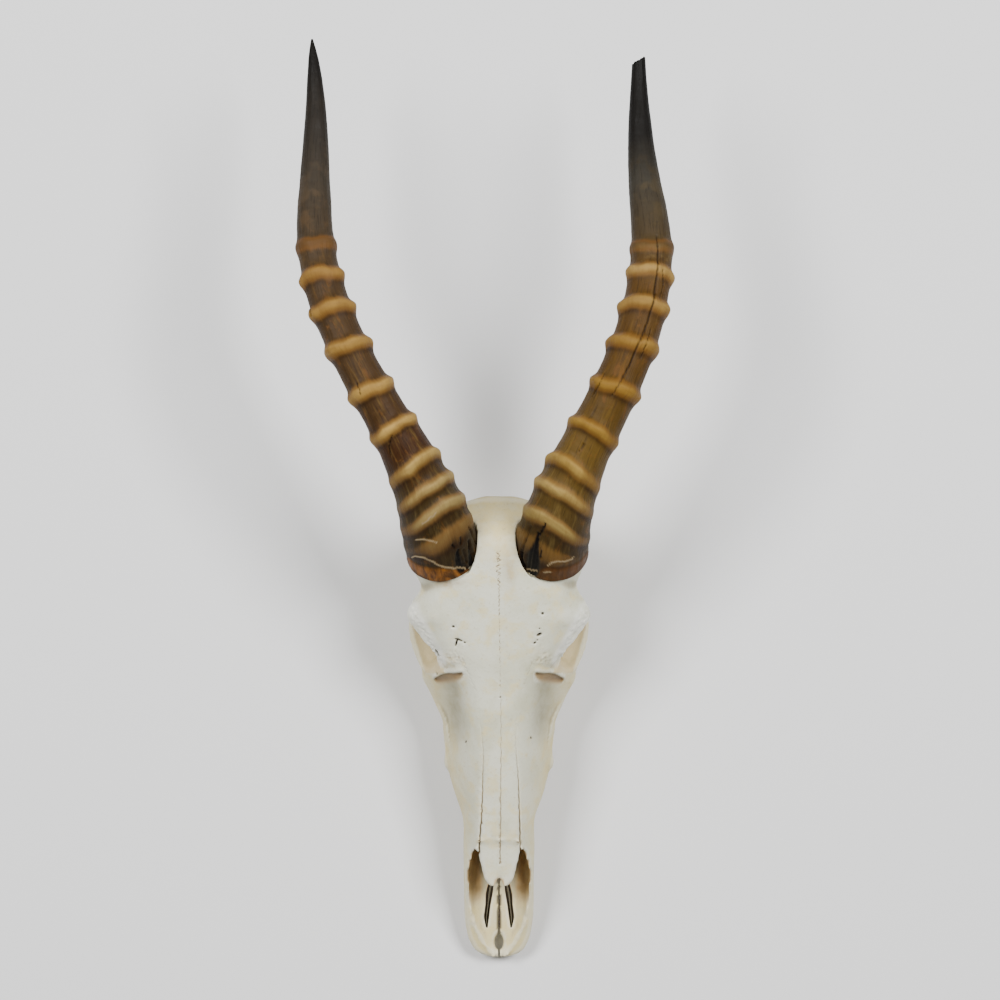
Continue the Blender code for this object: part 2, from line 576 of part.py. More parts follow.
def horn_mesh(spine, girth, rings, mirror, broken):
    """A horn lofted along its centre line, whose rows lean as its rings do."""
    points = np.array(spine, float)
    runs = np.append(0, np.cumsum(np.linalg.norm(np.diff(points, axis=0), axis=1)))
    crests = [float(np.interp(y, points[:, 1], runs)) for y, _, _, _ in rings]
    last = runs[-1]
    knots = [0.0, *crests, last]
    loops = []
    for row in horn_rows(crests, last):
        front_lean = np.interp(row, knots, [0, *(ring[2] for ring in rings), 0])
        outer_lean = np.interp(row, knots, [0, *(ring[3] for ring in rings), 0])
        corners = []
        for k in range(HORN_SIDES):
            turn = 2 * math.pi * k / HORN_SIDES
            c, s = math.cos(turn), math.sin(turn)
            place = min(last, max(0.0, row + front_lean * s + outer_lean * c))
            before, centre, after = through(runs, points, [max(place - 1, 0), place, min(place + 1, last)])
            tangent = Vector(after - before).normalized()
            outer = Vector((mirror, 0, 0))
            outer = (outer - outer.dot(tangent) * tangent).normalized()
            front = outer.cross(tangent) * mirror
            reach = np.interp(centre[1], *np.transpose(girth)) + ring_height(rings, crests, row, s, c)
            point = Vector(centre) + outer * reach * c + front * reach * s
            if broken and row == last:
                point += tangent * (c * mirror * BROKEN_TIP_SLOPE[0] + s * BROKEN_TIP_SLOPE[1]) * reach
            corners.append(point)
        loops.append(corners)
    mesh = bmesh.new()
    bridged(mesh, loops)
    return mesh


def build_horn(name, spine, girth, rings, mirror, broken, material, parent):
    horn = finished(name, horn_mesh(spine, girth, rings, mirror, broken), material, parent)
    seat = bmesh.new()
    add_disc(seat, spine, -5, SEAT_DEPTH + FIT_GAP, SEAT_RADIUS + FIT_GAP)
    cut = horn.modifiers.new("seat", "BOOLEAN")
    cut.operation, cut.object = "DIFFERENCE", cutter(name + "_seat_cut", seat, parent)
    return horn


def build_skull(material, parent):
    skull = finished("skull", bone_form(), material, parent)

    def fuse(name):
        step = skull.modifiers.new(name, "REMESH")
        step.mode, step.voxel_size = "VOXEL", VOXEL * MM

    def cut_with(other, operation="DIFFERENCE"):
        step = skull.modifiers.new(other.name, "BOOLEAN")
        step.operation, step.object = operation, other

    fuse("fuse_lumps")
    cut_with(cutter("nose_cut", nose_space(), parent))
    trough = cutter("trough_cut", trough_space(), parent)
    for mirror, label in ((-1, "left"), (1, "right")):
        tip = bmesh.new()
        add_nasal_bone(tip, mirror)
        set_true(tip)
        step = trough.modifiers.new(label + "_nasal_tip", "BOOLEAN")
        step.operation, step.object = "DIFFERENCE", cutter(label + "_nasal_tip_form", tip, parent)
    cut_with(trough)
    cut_with(cutter("hollows_cut", hollows(), parent))
    fuse("round_edges")
    smooth = skull.modifiers.new("soften", "SMOOTH")
    smooth.factor, smooth.iterations = 0.5, 3
    thin = skull.modifiers.new("fewer_faces", "DECIMATE")
    thin.ratio = SKULL_FACES_KEPT
    cut_with(cutter("slots_cut", slots(), parent))
    clear, posts = bmesh.new(), bmesh.new()
    for spine, girth in ((LEFT_SPINE, LEFT_GIRTH), (RIGHT_SPINE, RIGHT_GIRTH)):
        seat, axis = horn_seat(spine)
        widths = np.interp([p[1] for p in spine[:CLEAR_STATIONS]], *np.transpose(girth)) + HORN_CLEARANCE
        points = [tuple(seat - axis * FIT_GAP)] + spine[1:CLEAR_STATIONS]
        add_tube(clear, [(point, width, width) for point, width in zip(points, widths)], sides=20)
        add_disc(posts, spine, -POST_ROOT, SEAT_DEPTH, SEAT_RADIUS)
    cut_with(cutter("horn_seats_cut", clear, parent))
    cut_with(cutter("horn_posts_join", posts, parent), "UNION")
    # Neighbouring sockets run into each other, so every other one is cut first.
    for first in (0, 1):
        sockets = bmesh.new()
        for mirror in (-1, 1):
            for _, y, x, length, width in TEETH[first::2]:
                add_tooth(sockets, mirror * x, y, length, width, FIT_GAP)
        set_true(sockets)
        cut_with(cutter(f"tooth_sockets_cut_{first}", sockets, parent))
    return skull


def build():
    clear_scene()
    datum = bpy.data.objects.new("skull_datum", None)
    datum.location = Vector(DATUM) * MM
    bpy.context.scene.collection.objects.link(datum)
    bone, horn, enamel = (material_of(*kind) for kind in (BONE, HORN, ENAMEL))
    build_skull(bone, datum)
    build_horn("left_horn", LEFT_SPINE, LEFT_GIRTH, LEFT_RINGS, -1, False, horn, datum)
    build_horn("right_horn", RIGHT_SPINE, RIGHT_GIRTH, RIGHT_RINGS, 1, True, horn, datum)
    for mirror, label in ((-1, "left"), (1, "right")):
        for tooth, y, x, length, width in TEETH:
            mesh = bmesh.new()
            add_tooth(mesh, mirror * x, y, length, width)
            set_true(mesh)
            finished(f"{label}_{tooth}", mesh, enamel, datum)


build()
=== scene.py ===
"""The looks of a blesbok skull that lies face up: weathered bone, ringed horns and twelve cheek teeth.

Lengths inside the shaping functions are in millimetres from a datum near the tip of the nose on the
middle plane: x to the picture's right, y back towards the horns, z up from the floor.
"""

import math

import bmesh
import bpy
import numpy as np
from bpy.props import FloatProperty, FloatVectorProperty, IntProperty, PointerProperty
from mathutils import Matrix, Vector, noise


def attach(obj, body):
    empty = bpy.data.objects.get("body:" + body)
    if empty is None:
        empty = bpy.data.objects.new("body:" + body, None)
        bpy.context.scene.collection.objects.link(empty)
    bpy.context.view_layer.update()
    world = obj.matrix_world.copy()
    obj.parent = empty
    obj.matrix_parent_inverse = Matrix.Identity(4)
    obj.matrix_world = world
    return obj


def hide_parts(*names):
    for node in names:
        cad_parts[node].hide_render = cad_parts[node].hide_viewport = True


bl_info = {
    "name": "Blesbok skull",
    "version": (1, 0, 0),
    "blender": (4, 5, 0),
    "location": "3D View > Sidebar > Skull",
    "description": "Builds the bone, horns and teeth of a blesbok skull and a plain studio round it",
    "category": "Object",
}

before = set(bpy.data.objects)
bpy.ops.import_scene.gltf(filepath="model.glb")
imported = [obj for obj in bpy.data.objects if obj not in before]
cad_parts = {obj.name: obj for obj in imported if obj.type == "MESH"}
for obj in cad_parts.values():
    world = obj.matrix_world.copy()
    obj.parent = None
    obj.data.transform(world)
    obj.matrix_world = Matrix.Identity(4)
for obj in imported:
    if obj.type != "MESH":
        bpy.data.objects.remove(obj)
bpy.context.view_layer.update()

MM = 0.001
# Where the datum stands in the frame, near the tip of the nose on the middle plane.
DATUM = Vector((9.3, -305.57, 0.0))
# The bone's sizes are written as the camera sees them at the height of the forehead.
CAMERA_HEIGHT = 3000.0
SIGHT_LEVEL = 80.0
SIGHT_CENTRE = (0.7, 310.8)
FIT_GAP = 0.4
FEWEST_BONE_FACES = 20000

# The bone as an outer form: half sections from the middle of the roof round to the middle of the palate.
FACE_SECTIONS = {
    0.4: [(0, 14), (3, 14), (5.5, 13.7), (7, 13.2), (7.5, 12), (7, 10.8), (5.5, 10.2), (3, 10), (0, 10)],
    3: [(0, 15), (6, 15), (10.5, 14.6), (13.2, 13.6), (14, 12), (13.2, 10.4), (10.5, 9.4), (6, 9), (0, 9)],
    9: [(0, 17), (8, 17), (14.5, 16.8), (18, 15.6), (19, 13), (18, 10.5), (14.5, 9), (8, 8.5), (0, 9)],
    20: [(0, 21), (9, 21), (17, 21.5), (21, 20.5), (22.3, 16.5), (21, 11.5), (17, 9), (9, 9), (0, 10)],
    40: [(0, 32), (9, 32), (17.5, 33), (22, 31), (23.6, 23), (22.4, 14.5), (18, 11), (9, 12), (0, 14)],
    58: [(0, 46), (9, 46), (16, 47), (21.5, 43), (23.7, 31), (22.5, 19), (17.5, 14), (9, 15), (0, 17.5)],
    76: [(0, 66), (8, 65.4), (14.2, 62.5), (20.5, 52), (24.1, 38), (22.8, 24), (17, 17), (9, 18), (0, 21)],
    95: [(0, 72), (8, 71.4), (14.4, 68.5), (20.5, 58), (24.4, 41), (23, 26), (16.8, 18.5), (9, 19.5),
         (0, 23)],
    107: [(0, 75.6), (8, 75), (14.6, 72), (22, 61), (28.2, 41), (26.4, 27), (19, 19.5), (10, 20), (0, 24)],
    115: [(0, 78.2), (8, 77.6), (14.8, 74.6), (23, 63), (30.8, 40), (29.5, 28), (26, 20), (13, 20), (0, 25)],
    131: [(0, 83), (8, 82.4), (15, 79.4), (25, 67), (34.4, 41), (33.4, 29), (31, 20), (16, 20), (0, 26.5)],
    150: [(0, 88.6), (8, 88), (15.2, 85), (26, 72), (36.8, 44), (36.4, 31), (34.5, 20), (18, 20), (0, 27.5)],
    167: [(0, 93.6), (8, 93), (16, 90), (28, 77), (39.4, 47), (37.6, 32), (35.5, 20), (19, 20), (0, 28)],
    182: [(0, 98), (9, 97.4), (18, 94.4), (30.5, 81), (48, 49), (40, 33), (35.5, 20), (20, 20), (0, 29)],
    194: [(0, 101.6), (11, 101), (22, 98), (35, 85), (52.4, 50), (42, 35), (34, 22), (20, 22), (0, 31)],
    203: [(0, 104.4), (14, 103.8), (28, 100.4), (34, 89), (44, 50), (37, 38), (28, 27), (17, 27), (0, 33)],
    210: [(0, 106), (14, 105), (24, 101), (27, 90), (29, 54), (27, 42), (21, 33), (13, 32), (0, 36)],
}

# The forehead: half sections of the roof plate, ending in the rim over each eye socket.
ROOF_SECTIONS = {
    188: [(0, 99), (8, 98.4), (16, 96), (21, 92), (23, 88), (20, 85), (14, 84), (7, 84), (0, 84)],
    201: [(0, 104), (14, 103.4), (26, 101), (34.5, 96), (38.5, 90), (35, 87), (24, 89), (12, 88), (0, 88)],
    209: [(0, 106.4), (16, 106), (29, 104), (37.5, 99), (42, 93), (39, 89.5), (27, 93), (13, 91), (0, 89)],
    216: [(0, 108.4), (17, 108.2), (32, 106.4), (43.5, 100.4), (49.6, 93.6), (46, 90.5), (31, 96), (15, 94),
          (0, 91)],
    223: [(0, 110.4), (18, 110.4), (36, 108.6), (50, 101), (56.2, 93), (53, 90.5), (35, 99), (16, 96),
          (0, 93)],
    230: [(0, 112.4), (20, 112.6), (40, 110.8), (56, 102), (62, 93), (59, 90.8), (37, 101), (17, 98),
          (0, 95)],
    237: [(0, 114.2), (22, 114.6), (41, 112.4), (55.4, 103), (61.4, 94), (58.5, 91.5), (38, 102), (18, 100),
          (0, 97)],
    244: [(0, 116), (24, 116.6), (42, 114), (52, 104.6), (56.8, 95), (53.5, 91.5), (37, 102), (19, 100),
          (0, 98)],
    253: [(0, 117.8), (26, 118.4), (41.6, 115.6), (48.6, 106), (52.4, 95.6), (49, 90), (35, 98), (20, 99),
          (0, 100)],
    263: [(0, 119.6), (28, 120), (41, 117), (47.4, 107), (50.4, 95), (47, 88), (34, 92), (22, 95), (0, 100)],
    274: [(0, 121.6), (28, 122), (40, 118), (46.6, 108), (48.4, 94), (44, 84), (32, 84), (22, 88), (0, 100)],
    286: [(0, 121.4), (24, 121), (35, 115), (41.6, 104), (42, 90), (38, 80), (28, 80), (18, 86), (0, 98)],
    296: [(0, 115.4), (16, 114.4), (25, 109), (31, 99), (31, 88), (28, 80), (20, 80), (12, 84), (0, 94)],
}

# The braincase and the wall between the eye sockets: y, half width, lowest and highest z.
BRAIN_SECTIONS = [
    (200, 20, 34, 103), (214, 18, 37, 105), (228, 17, 40, 107), (244, 19, 42, 110), (258, 27, 44, 114),
    (271, 35, 44, 119), (284, 38.5, 45, 120), (294, 37, 47, 115), (303, 31.5, 51, 105), (309.5, 23, 58, 94),
    (313.4, 10, 68, 84),
]

# The space inside the nose behind the nostrils: half sections, closed all round.
NASAL_CAVITY = {
    44: [(0, 50), (6, 50), (10, 49), (15, 44), (17.5, 36), (16, 25), (12, 22), (6, 21), (0, 21)],
    58: [(0, 54.5), (6, 54.5), (10, 53), (15.4, 47), (18, 38), (16.6, 25.6), (12, 22.4), (6, 21.8),
         (0, 21.8)],
    76: [(0, 60), (6, 60), (10, 58), (16, 49), (19.5, 38), (18, 27), (13, 23.5), (6, 23.5), (0, 24)],
    110: [(0, 71), (6, 71), (10, 69), (16, 59), (20, 42), (18, 30), (12, 27), (6, 27), (0, 28)],
    150: [(0, 82), (5, 82), (9, 80), (13, 72), (15, 52), (13, 38), (9, 34), (5, 34), (0, 34)],
}

# The open trough of the upper lip bones in front of the nasal tips: y, half width, floor height.
TROUGH = [
    (-6, 9, 15.5), (4, 11, 15), (10, 15, 15), (20, 18.6, 16), (40, 20.4, 18), (60, 20.6, 20.5),
    (70, 18, 23), (79, 14, 28),
]
TROUGH_TOP = 90.0
# The trough's hollow section: share of its half width, height over its floor.
TROUGH_SLOPE = ((1.0, 15.0), (0.88, 7.0), (0.6, 2.0), (0.0, 0.0))

# The two nasal bones' free tips: y, inner edge, outer edge, thickness.
NASAL_TIPS = [
    (48.2, 3.2, 6.0, 4), (50.2, 2.2, 7.8, 4.2), (53.4, 1.2, 9.8, 4.2), (58.5, 0.4, 11.2, 4),
    (62.5, 0.1, 12.3, 3.8), (67, -0.6, 13.2, 3.4), (72, -1, 14, 3.6), (76, -1, 14.6, 3.6),
    (100, -1, 13.8, 3.8),
]

ROOF_LINE = ((50, 76, 211), (59.5, 66, 106))
ROOF_CURVE = 0.00118

# Slots through the floor of the nose: middle line x, y and half width.
PALATE_SLOT = [
    (4.6, 52.4, 0.6), (5.4, 49.5, 1.7), (6.6, 43, 2.2), (7.4, 36, 1.9), (8.4, 28, 1.9), (8.4, 23.6, 1.2),
    (8.2, 20, 0.5),
]
NOTCH_CENTRE = (0, 10.4, 14)
NOTCH_HALF = (3.1, 6.0, 20)
# The gap between the two strips of the nose floor, and the slit in front of the notch.
MIDDLE_GAP = [
    (0.2, 61.5, 0.3), (0.2, 58, 0.6), (0, 50, 0.5), (0, 38, 0.55), (-0.2, 28, 0.45), (-0.2, 20, 0.55),
    (0, 13, 0.6),
]
NOSE_SLIT = [(0, -8, 0.8), (0, 7, 0.8)]
# Height of the palate's lower skin by y, and how much of a slot's width is open there.
PALATE_SKIN = ((0, 20, 40, 52, 62), (9, 9.6, 13, 15.5, 17.5))
SLOT_WAIST = 0.25
# Lowest and highest z of the cutters for the slots and the slit.
SLOT_SPAN = (-5, 26)
SLIT_SPAN = (-8, 40)

# Bars and knobs on each side, given for the positive side: path points, then half sizes (side, up).
CHEEK_BAR = [
    ((34, 163, 44), 5, 8), ((44, 184, 47), 4, 8), ((50.6, 198, 48.5), 2.4, 7), ((56, 212, 49), 2.2, 6.2),
    ((59, 226, 50), 2.3, 6), ((55.4, 240, 51.5), 2.8, 5.6), ((49.2, 251, 53), 3.2, 5.2),
    ((44, 265, 52.5), 4, 5), ((37, 279, 52), 5, 6),
]
EYE_FLOOR = [
    ((44, 194, 54), 8, 3.4), ((47, 205, 51), 8.6, 3.4), ((50, 215, 50), 8, 3.4), ((53, 225, 51), 5.4, 3.2),
]
EYE_RIM = [
    (49.4, 216, 92), (43.2, 208.5, 89), (40.3, 201.5, 82), (42.3, 196.5, 73), (46.4, 194.4, 64.5),
    (51.4, 198, 57), (55.8, 207.5, 52.8), (58.6, 219, 51), (59, 230, 53.6), (57, 237.5, 63),
    (57, 239.5, 75), (58.6, 237, 87), (59.4, 231, 91.8), (55, 223.4, 92.6),
]
EYE_RIM_HALF = (1.9, 2.4)
POST_ORBITAL_BAR = [
    ((55, 240, 92), 4, 5.4), ((53.4, 243, 78), 3.2, 5), ((52.8, 242, 65), 3.2, 5),
    ((53.6, 238, 54), 3.4, 5),
]
NECK_PROCESS = [
    ((28, 288, 58), 6, 8), ((30.5, 286, 42), 4, 7), ((31.5, 284, 26), 3, 6), ((31.5, 281.5, 12), 2.6, 5),
    ((31, 280, 0.4), 2.5, 3.6),
]
WING_PLATE = [
    ((13, 190, 30), 1.8, 9), ((12, 205, 30), 1.7, 11), ((11, 220, 32), 1.7, 12), ((11.5, 236, 40), 2.4, 8),
    ((13, 248, 46), 3, 4),
]
EAR_TUBE = [((22, 268, 50), 5, 6), ((32, 272, 54), 5, 6), ((40.5, 276, 59), 4.6, 5.4)]
CHEEK_CREST = [
    ((33.4, 128.8, 39.5), 3.0, 3.6), ((34, 133, 40.5), 3.6, 5), ((33.4, 142, 41.5), 3.2, 5),
    ((34.8, 162, 44), 3.4, 5),
]
BASE_BAR = [((0, 212, 42), 9, 7), ((0, 240, 44), 9, 6), ((0, 270, 45), 11, 6), ((0, 291, 46), 13, 6)]
# Rounded lumps: centre and half sizes.
NAPE_RIDGE = ((0, 306.4, 90), (26, 6.4, 9))
LUMPS = {
    "tear_bone_lip": ((36, 198.5, 80), (5.6, 6, 7)),
    "ear_bulb": ((19, 263, 37), (8.5, 12.5, 12)),
    "neck_joint": ((13, 300, 40), (8.5, 9, 13)),
    "mastoid": ((32, 289, 62), (7, 8, 12)),
    "jaw_seat": ((40, 272, 49), (8, 8, 5)),
}
TEAR_LEDGE = [
    ((24, 196, 96), 3, 3.4), ((30, 194.4, 88), 3.4, 4), ((36, 193, 79.5), 3.6, 4.4),
    ((41.5, 192, 70), 3, 4), ((44.5, 191.4, 62), 2.2, 3),
]
CHOANA = [(176, 5, 33, 40), (190, 8, 27, 46), (210, 8.4, 20, 46), (238, 7, 8, 40)]
NECK_HOLE = [
    ((0, 316, 47), 10.6, 9.4), ((0, 298, 53), 10.4, 9.4), ((0, 279, 62), 15, 13), ((0, 266, 68), 9, 8),
]

# The free edge of the roof over each eye socket: distances from the middle and y.
BROW_EDGE = [(59.8, 225.8), (55.8, 223.7), (51, 215.6), (45.6, 210.1), (41.5, 206), (39.4, 202), (40.5, 196)]
# The edge of the ledge over each tear pit: distances from the middle and y.
LEDGE_LINE = ((23, 25, 30, 34, 38, 43.5, 46), (191.4, 193.2, 192.9, 193, 192.2, 189.6, 187))
TEAR_PIT_HALF = (10.0, 8.6)

# Fine lines on the roof of the skull, as x, y.
MIDDLE_SUTURE = [(-0.6, 276), (-0.4, 262), (0, 246), (0.3, 225), (0.6, 205), (0.9, 188), (1.3, 175)]
NASAL_SUTURE = [(1.3, 175), (1.4, 140), (1.2, 113), (1, 80), (0.6, 63)]
LEFT_NASAL_EDGE = [
    (-14.6, 176), (-12.9, 161), (-10.9, 140.8), (-11.2, 120.4), (-11.6, 106.8), (-12.2, 93.2),
    (-12.9, 86.4), (-13.6, 70.7),
]
RIGHT_NASAL_EDGE = [
    (14.4, 175), (12.6, 165), (11.6, 152), (12.2, 134), (12.9, 127.2), (13.6, 113.6), (14.3, 93.2),
    (15, 70.7),
]
RIGHT_NASAL_BRANCH = [(7.5, 162), (9.5, 154.4), (11.6, 148)]
LEFT_TEAR_SUTURE = [
    (-25.6, 203), (-24.3, 200), (-21.6, 194.5), (-20.2, 190.7), (-17.9, 185.3), (-15.6, 180.9),
    (-14.6, 176),
]
RIGHT_TEAR_SUTURE = [(23.6, 202), (22.2, 198.9), (19.9, 192.6), (18.1, 186.3), (15.6, 180.9), (14.4, 175)]
# Small holes in the roof: x, y, half length, half width, turn in degrees, depth.
NERVE_HOLES = [
    (-31.1, 224.4, 0.9, 0.75, 0, 2.2), (-27.6, 215.2, 2.5, 0.75, -14, 3.0),
    (-29.3, 213.2, 2.3, 0.6, 72, 2.4), (-23.4, 213.6, 0.7, 0.55, 0, 1.6),
    (-42.0, 206.6, 2.5, 0.55, -62, 2.2), (-42.2, 192.6, 0.95, 0.8, 0, 2.2),
    (29.7, 233.4, 0.85, 0.75, 0, 2.2), (27.5, 219.0, 1.7, 0.95, 28, 3.0), (24.5, 213.3, 0.9, 0.65, 20, 2.0),
    (26.3, 215.1, 0.5, 0.45, 0, 1.2), (27.6, 223.2, 0.45, 0.4, 0, 1.0), (0.9, 176.5, 0.5, 0.4, 0, 0.8),
    (-23.1, 146.2, 0.8, 0.5, 60, 0.9), (22.4, 148.9, 0.8, 0.5, -60, 0.9),
]

# The upper cheek teeth from front to back: name, middle y, x of the middle, length, width.
TEETH = [
    ("premolar_2", 113.5, 21.2, 6.6, 7.4),
    ("premolar_3", 121.8, 22.6, 8.6, 9.4),
    ("premolar_4", 131.6, 24.2, 9.6, 11.2),
    ("molar_1", 144.0, 26.0, 13.8, 13.4),
    ("molar_2", 160.4, 27.4, 17.4, 14.2),
    ("molar_3", 178.6, 27.8, 17.6, 13.4),
]
TOOTH_FLOOR = 20.0
TOOTH_ROOT_TOP = 29.0
TOOTH_ROOT_SHARE = 0.8

# The horns' true centre lines, and their plain half widths along the way.
LEFT_SPINE = [
    (-37, 275.5, 106), (-39.4, 284, 117), (-42, 294.4, 128), (-46.8, 310, 139.7), (-54, 327, 149),
    (-63, 345.6, 156.4), (-76, 368.4, 162), (-85.2, 384.4, 164.4), (-102, 416.5, 164), (-114.6, 448.7, 160),
    (-120, 471.5, 155), (-122, 488, 151.5), (-122.4, 520, 145.5), (-122, 546.6, 142), (-122, 572.6, 140),
    (-122.8, 592, 139.5), (-124.5, 617.8, 140),
]
RIGHT_SPINE = [
    (35, 276, 106), (36, 284, 117), (38.2, 294.4, 128), (42.6, 310, 139.7), (49, 327, 149),
    (57.4, 345.6, 156.4), (69.2, 368.4, 162), (76.8, 384.4, 164.4), (90, 416.5, 164), (98.2, 448.7, 160),
    (101, 471.5, 155), (100.8, 488, 151.5), (99.2, 504, 148.5), (97, 520.4, 145.5), (94.6, 546.6, 142),
    (93.5, 572.6, 140), (93, 603, 139.5),
]
# Half width at each y, with the rings left out.
LEFT_GIRTH = [
    (275, 24.8), (284, 24.6), (300, 23.2), (313, 21), (327, 18.6), (349, 16.2), (368, 14.5), (397, 13.5),
    (425, 13.2), (445, 13.1), (468, 12.5), (485, 12.2), (495, 11.8), (510, 11.1), (520, 10.3), (544, 8.7),
    (560, 7.7), (577, 6.3), (591, 5.1), (604, 3.5), (611, 2.2), (617.8, 0.6),
]
RIGHT_GIRTH = [
    (276, 24.8), (287, 24.2), (306, 21.7), (323, 19.6), (344, 17.2), (368, 15.9), (397, 15.1), (418, 14.8),
    (446, 14.3), (470, 13.6), (490, 12.9), (507, 12), (524, 10.7), (537, 9.6), (550, 8.5), (564, 7.5),
    (577, 6.3), (591, 5.2), (603, 4.5),
]
# Each ring: y on the centre line, height over the valleys, lean of its front and of its outer side tipwards.
LEFT_RINGS = [
    (290, 1.2, 12, -9), (302.4, 2.2, 12, -8), (316.3, 2.6, 9.5, -6), (332.3, 2.8, 8.5, -5),
    (358.7, 3, 3.2, -0.5), (383.7, 3, 2.3, 1), (411.4, 3.1, 2.3, 2.2), (436, 3, 2, 1.3), (457.6, 2.8, 2, 1),
    (479, 1.7, 0.6, 0),
]
RIGHT_RINGS = [
    (284, 0.9, 12, -8), (295.3, 2, 13.5, -9), (312.9, 2.6, 11.5, -6.5), (328.1, 2.8, 11.5, -6),
    (355.8, 3, 6, -1), (384.7, 3.1, 2.4, 1), (411.9, 3.1, 3.6, 2.2), (436.9, 3.1, 3.8, 1.6),
    (459.6, 2.7, 1.8, 0), (477.9, 1.6, -0.8, 0),
]
# How far a ring's flank runs towards the tip and towards the base.
RING_RISE = 3.6
RING_FALL = 5.4
# Low rings fade on the outer side, and all rings fade on the back.
LOW_RINGS_END = 150.0
LOW_RINGS_SPAN = 90.0
OUTER_FADE = 0.75
BACK_FADE = 0.45
# The bone's round post inside each horn's base, and the clear space cut for the horn.
SEAT_RADIUS = 22.6
SEAT_DEPTH = 7.5
POST_ROOT = 14.0
HORN_CLEARANCE = 0.9
CLEAR_STATIONS = 7
# The swelling of bone under each horn: distance below the seat, half width.
HORN_STALK = ((34.0, 20.0), (10.0, 23.0), (0.0, 24.0))
# How far up each horn its skin is drawn finer, for the chips and splits at the base.
FINE_BASE = 36.0
# The slant of the broken tip across the horn and from its front to its back.
BROKEN_TIP_SLOPE = (0.54, 0.18)


# Curves and skins

def through(knots, values, places):
    """A smooth curve through the values at the knots, read at each place."""
    knots, values, places = np.asarray(knots, float), np.asarray(values, float), np.asarray(places, float)
    slopes = np.gradient(values, knots, axis=0)
    span = np.clip(np.searchsorted(knots, places, side="right") - 1, 0, len(knots) - 2)
    width = (knots[span + 1] - knots[span])[:, None]
    t = (places - knots[span])[:, None] / width
    a, b = values[span], values[span + 1]
    u, v = slopes[span] * width, slopes[span + 1] * width
    share = 3 * t**2 - 2 * t**3
    return a * (1 - share) + b * share + u * (t**3 - 2 * t**2 + t) + v * (t**3 - t**2)


def between(knots, per_span):
    """The knots with evenly spaced places added between each two."""
    spans = [np.linspace(a, b, per_span, endpoint=False) for a, b in zip(knots, knots[1:])]
    return np.append(np.concatenate(spans), knots[-1])


def mirrored_ring(half, y, per_span):
    """A closed ring of points at y from a half section that starts and ends on the middle plane."""
    whole = np.array(list(half) + [(-x, z) for x, z in half[-2:0:-1]], float)
    wrapped = np.concatenate([whole[-2:], whole, whole[:3]])
    places = np.arange(2, 2 + len(whole), 1.0 / per_span)
    return [(x, y, z) for x, z in through(np.arange(len(wrapped)), wrapped, places)]


def bridged(mesh, rings):
    """A closed skin over rings of points, each bridged to the next and filled at both ends."""
    loops = []
    for ring in rings:
        corners = [mesh.verts.new(Vector(p) * MM) for p in ring]
        loops.append([mesh.edges.new((corners[i - 1], corners[i])) for i in range(len(corners))])
    for near, far in zip(loops, loops[1:]):
        bmesh.ops.bridge_loops(mesh, edges=near + far)
    for end in (loops[0], loops[-1]):
        bmesh.ops.contextual_create(mesh, geom=end)


def shrinkage(z):
    """How much smaller than at the height of the forehead a thing may be to look as large at height z."""
    return (CAMERA_HEIGHT - z) / (CAMERA_HEIGHT - SIGHT_LEVEL)


def set_true(mesh):
    """Moves a form's points from where the camera sees them to where they are."""
    for vert in mesh.verts:
        x, y, z = vert.co / MM
        share = shrinkage(z)
        vert.co = Vector((x * share, SIGHT_CENTRE[1] + (y - SIGHT_CENTRE[1]) * share, z)) * MM
    return mesh


def as_seen(points):
    """Where the camera sees points, at the scale of the forehead."""
    seen = np.array(points, float)
    share = shrinkage(seen[:, 2])
    seen[:, 0] /= share
    seen[:, 1] = SIGHT_CENTRE[1] + (seen[:, 1] - SIGHT_CENTRE[1]) / share
    return seen


def add_sections(mesh, sections, per_span=5, around=5):
    """A form through half sections set out along y."""
    ys = sorted(sections)
    table = np.array([sections[y] for y in ys], float)
    places = between(ys, per_span)
    halves = through(ys, table.reshape(len(ys), -1), places).reshape(len(places), -1, 2)
    bridged(mesh, [mirrored_ring([tuple(p) for p in half], y, around) for half, y in zip(halves, places)])


def add_ovals(mesh, stations, sides=40, per_span=5, squareness=2.3):
    """A form through upright ovals: y, half width, lowest and highest z."""
    ys = [s[0] for s in stations]
    places = between(ys, per_span)
    rings = []
    for y, (half, low, high) in zip(places, through(ys, [s[1:] for s in stations], places)):
        ring = []
        for k in range(sides):
            c, s = math.cos(2 * math.pi * k / sides), math.sin(2 * math.pi * k / sides)
            stretch = (abs(c) ** squareness + abs(s) ** squareness) ** (-1 / squareness)
            ring.append((half * c * stretch, y, (low + high) / 2 + (high - low) / 2 * s * stretch))
        rings.append(ring)
    bridged(mesh, rings)


def side_and_up(tangent):
    """Two directions square to a path: one to the side, one as near upright as it allows."""
    upright = Vector((0, 0, 1)) if abs(tangent.z) < 0.9 else Vector((0, 1, 0))
    side = tangent.cross(upright).normalized()
    return side, side.cross(tangent).normalized()


def add_tube(mesh, stations, mirror=1, sides=20, per_span=5):
    """A round-edged bar along stations of a point and two half sizes."""
    table = [(p[0] * mirror, p[1], p[2], a, b) for p, a, b in stations]
    knots = np.arange(len(stations))
    rows = through(knots, table, between(knots, per_span))
    rings = []
    for i, row in enumerate(rows):
        tangent = Vector(rows[min(i + 1, len(rows) - 1)][:3] - rows[max(i - 1, 0)][:3]).normalized()
        side, up = side_and_up(tangent)
        turns = [2 * math.pi * k / sides for k in range(sides)]
        middle = Vector(row[:3])
        rings.append([middle + side * row[3] * math.cos(t) + up * row[4] * math.sin(t) for t in turns])
    bridged(mesh, rings)


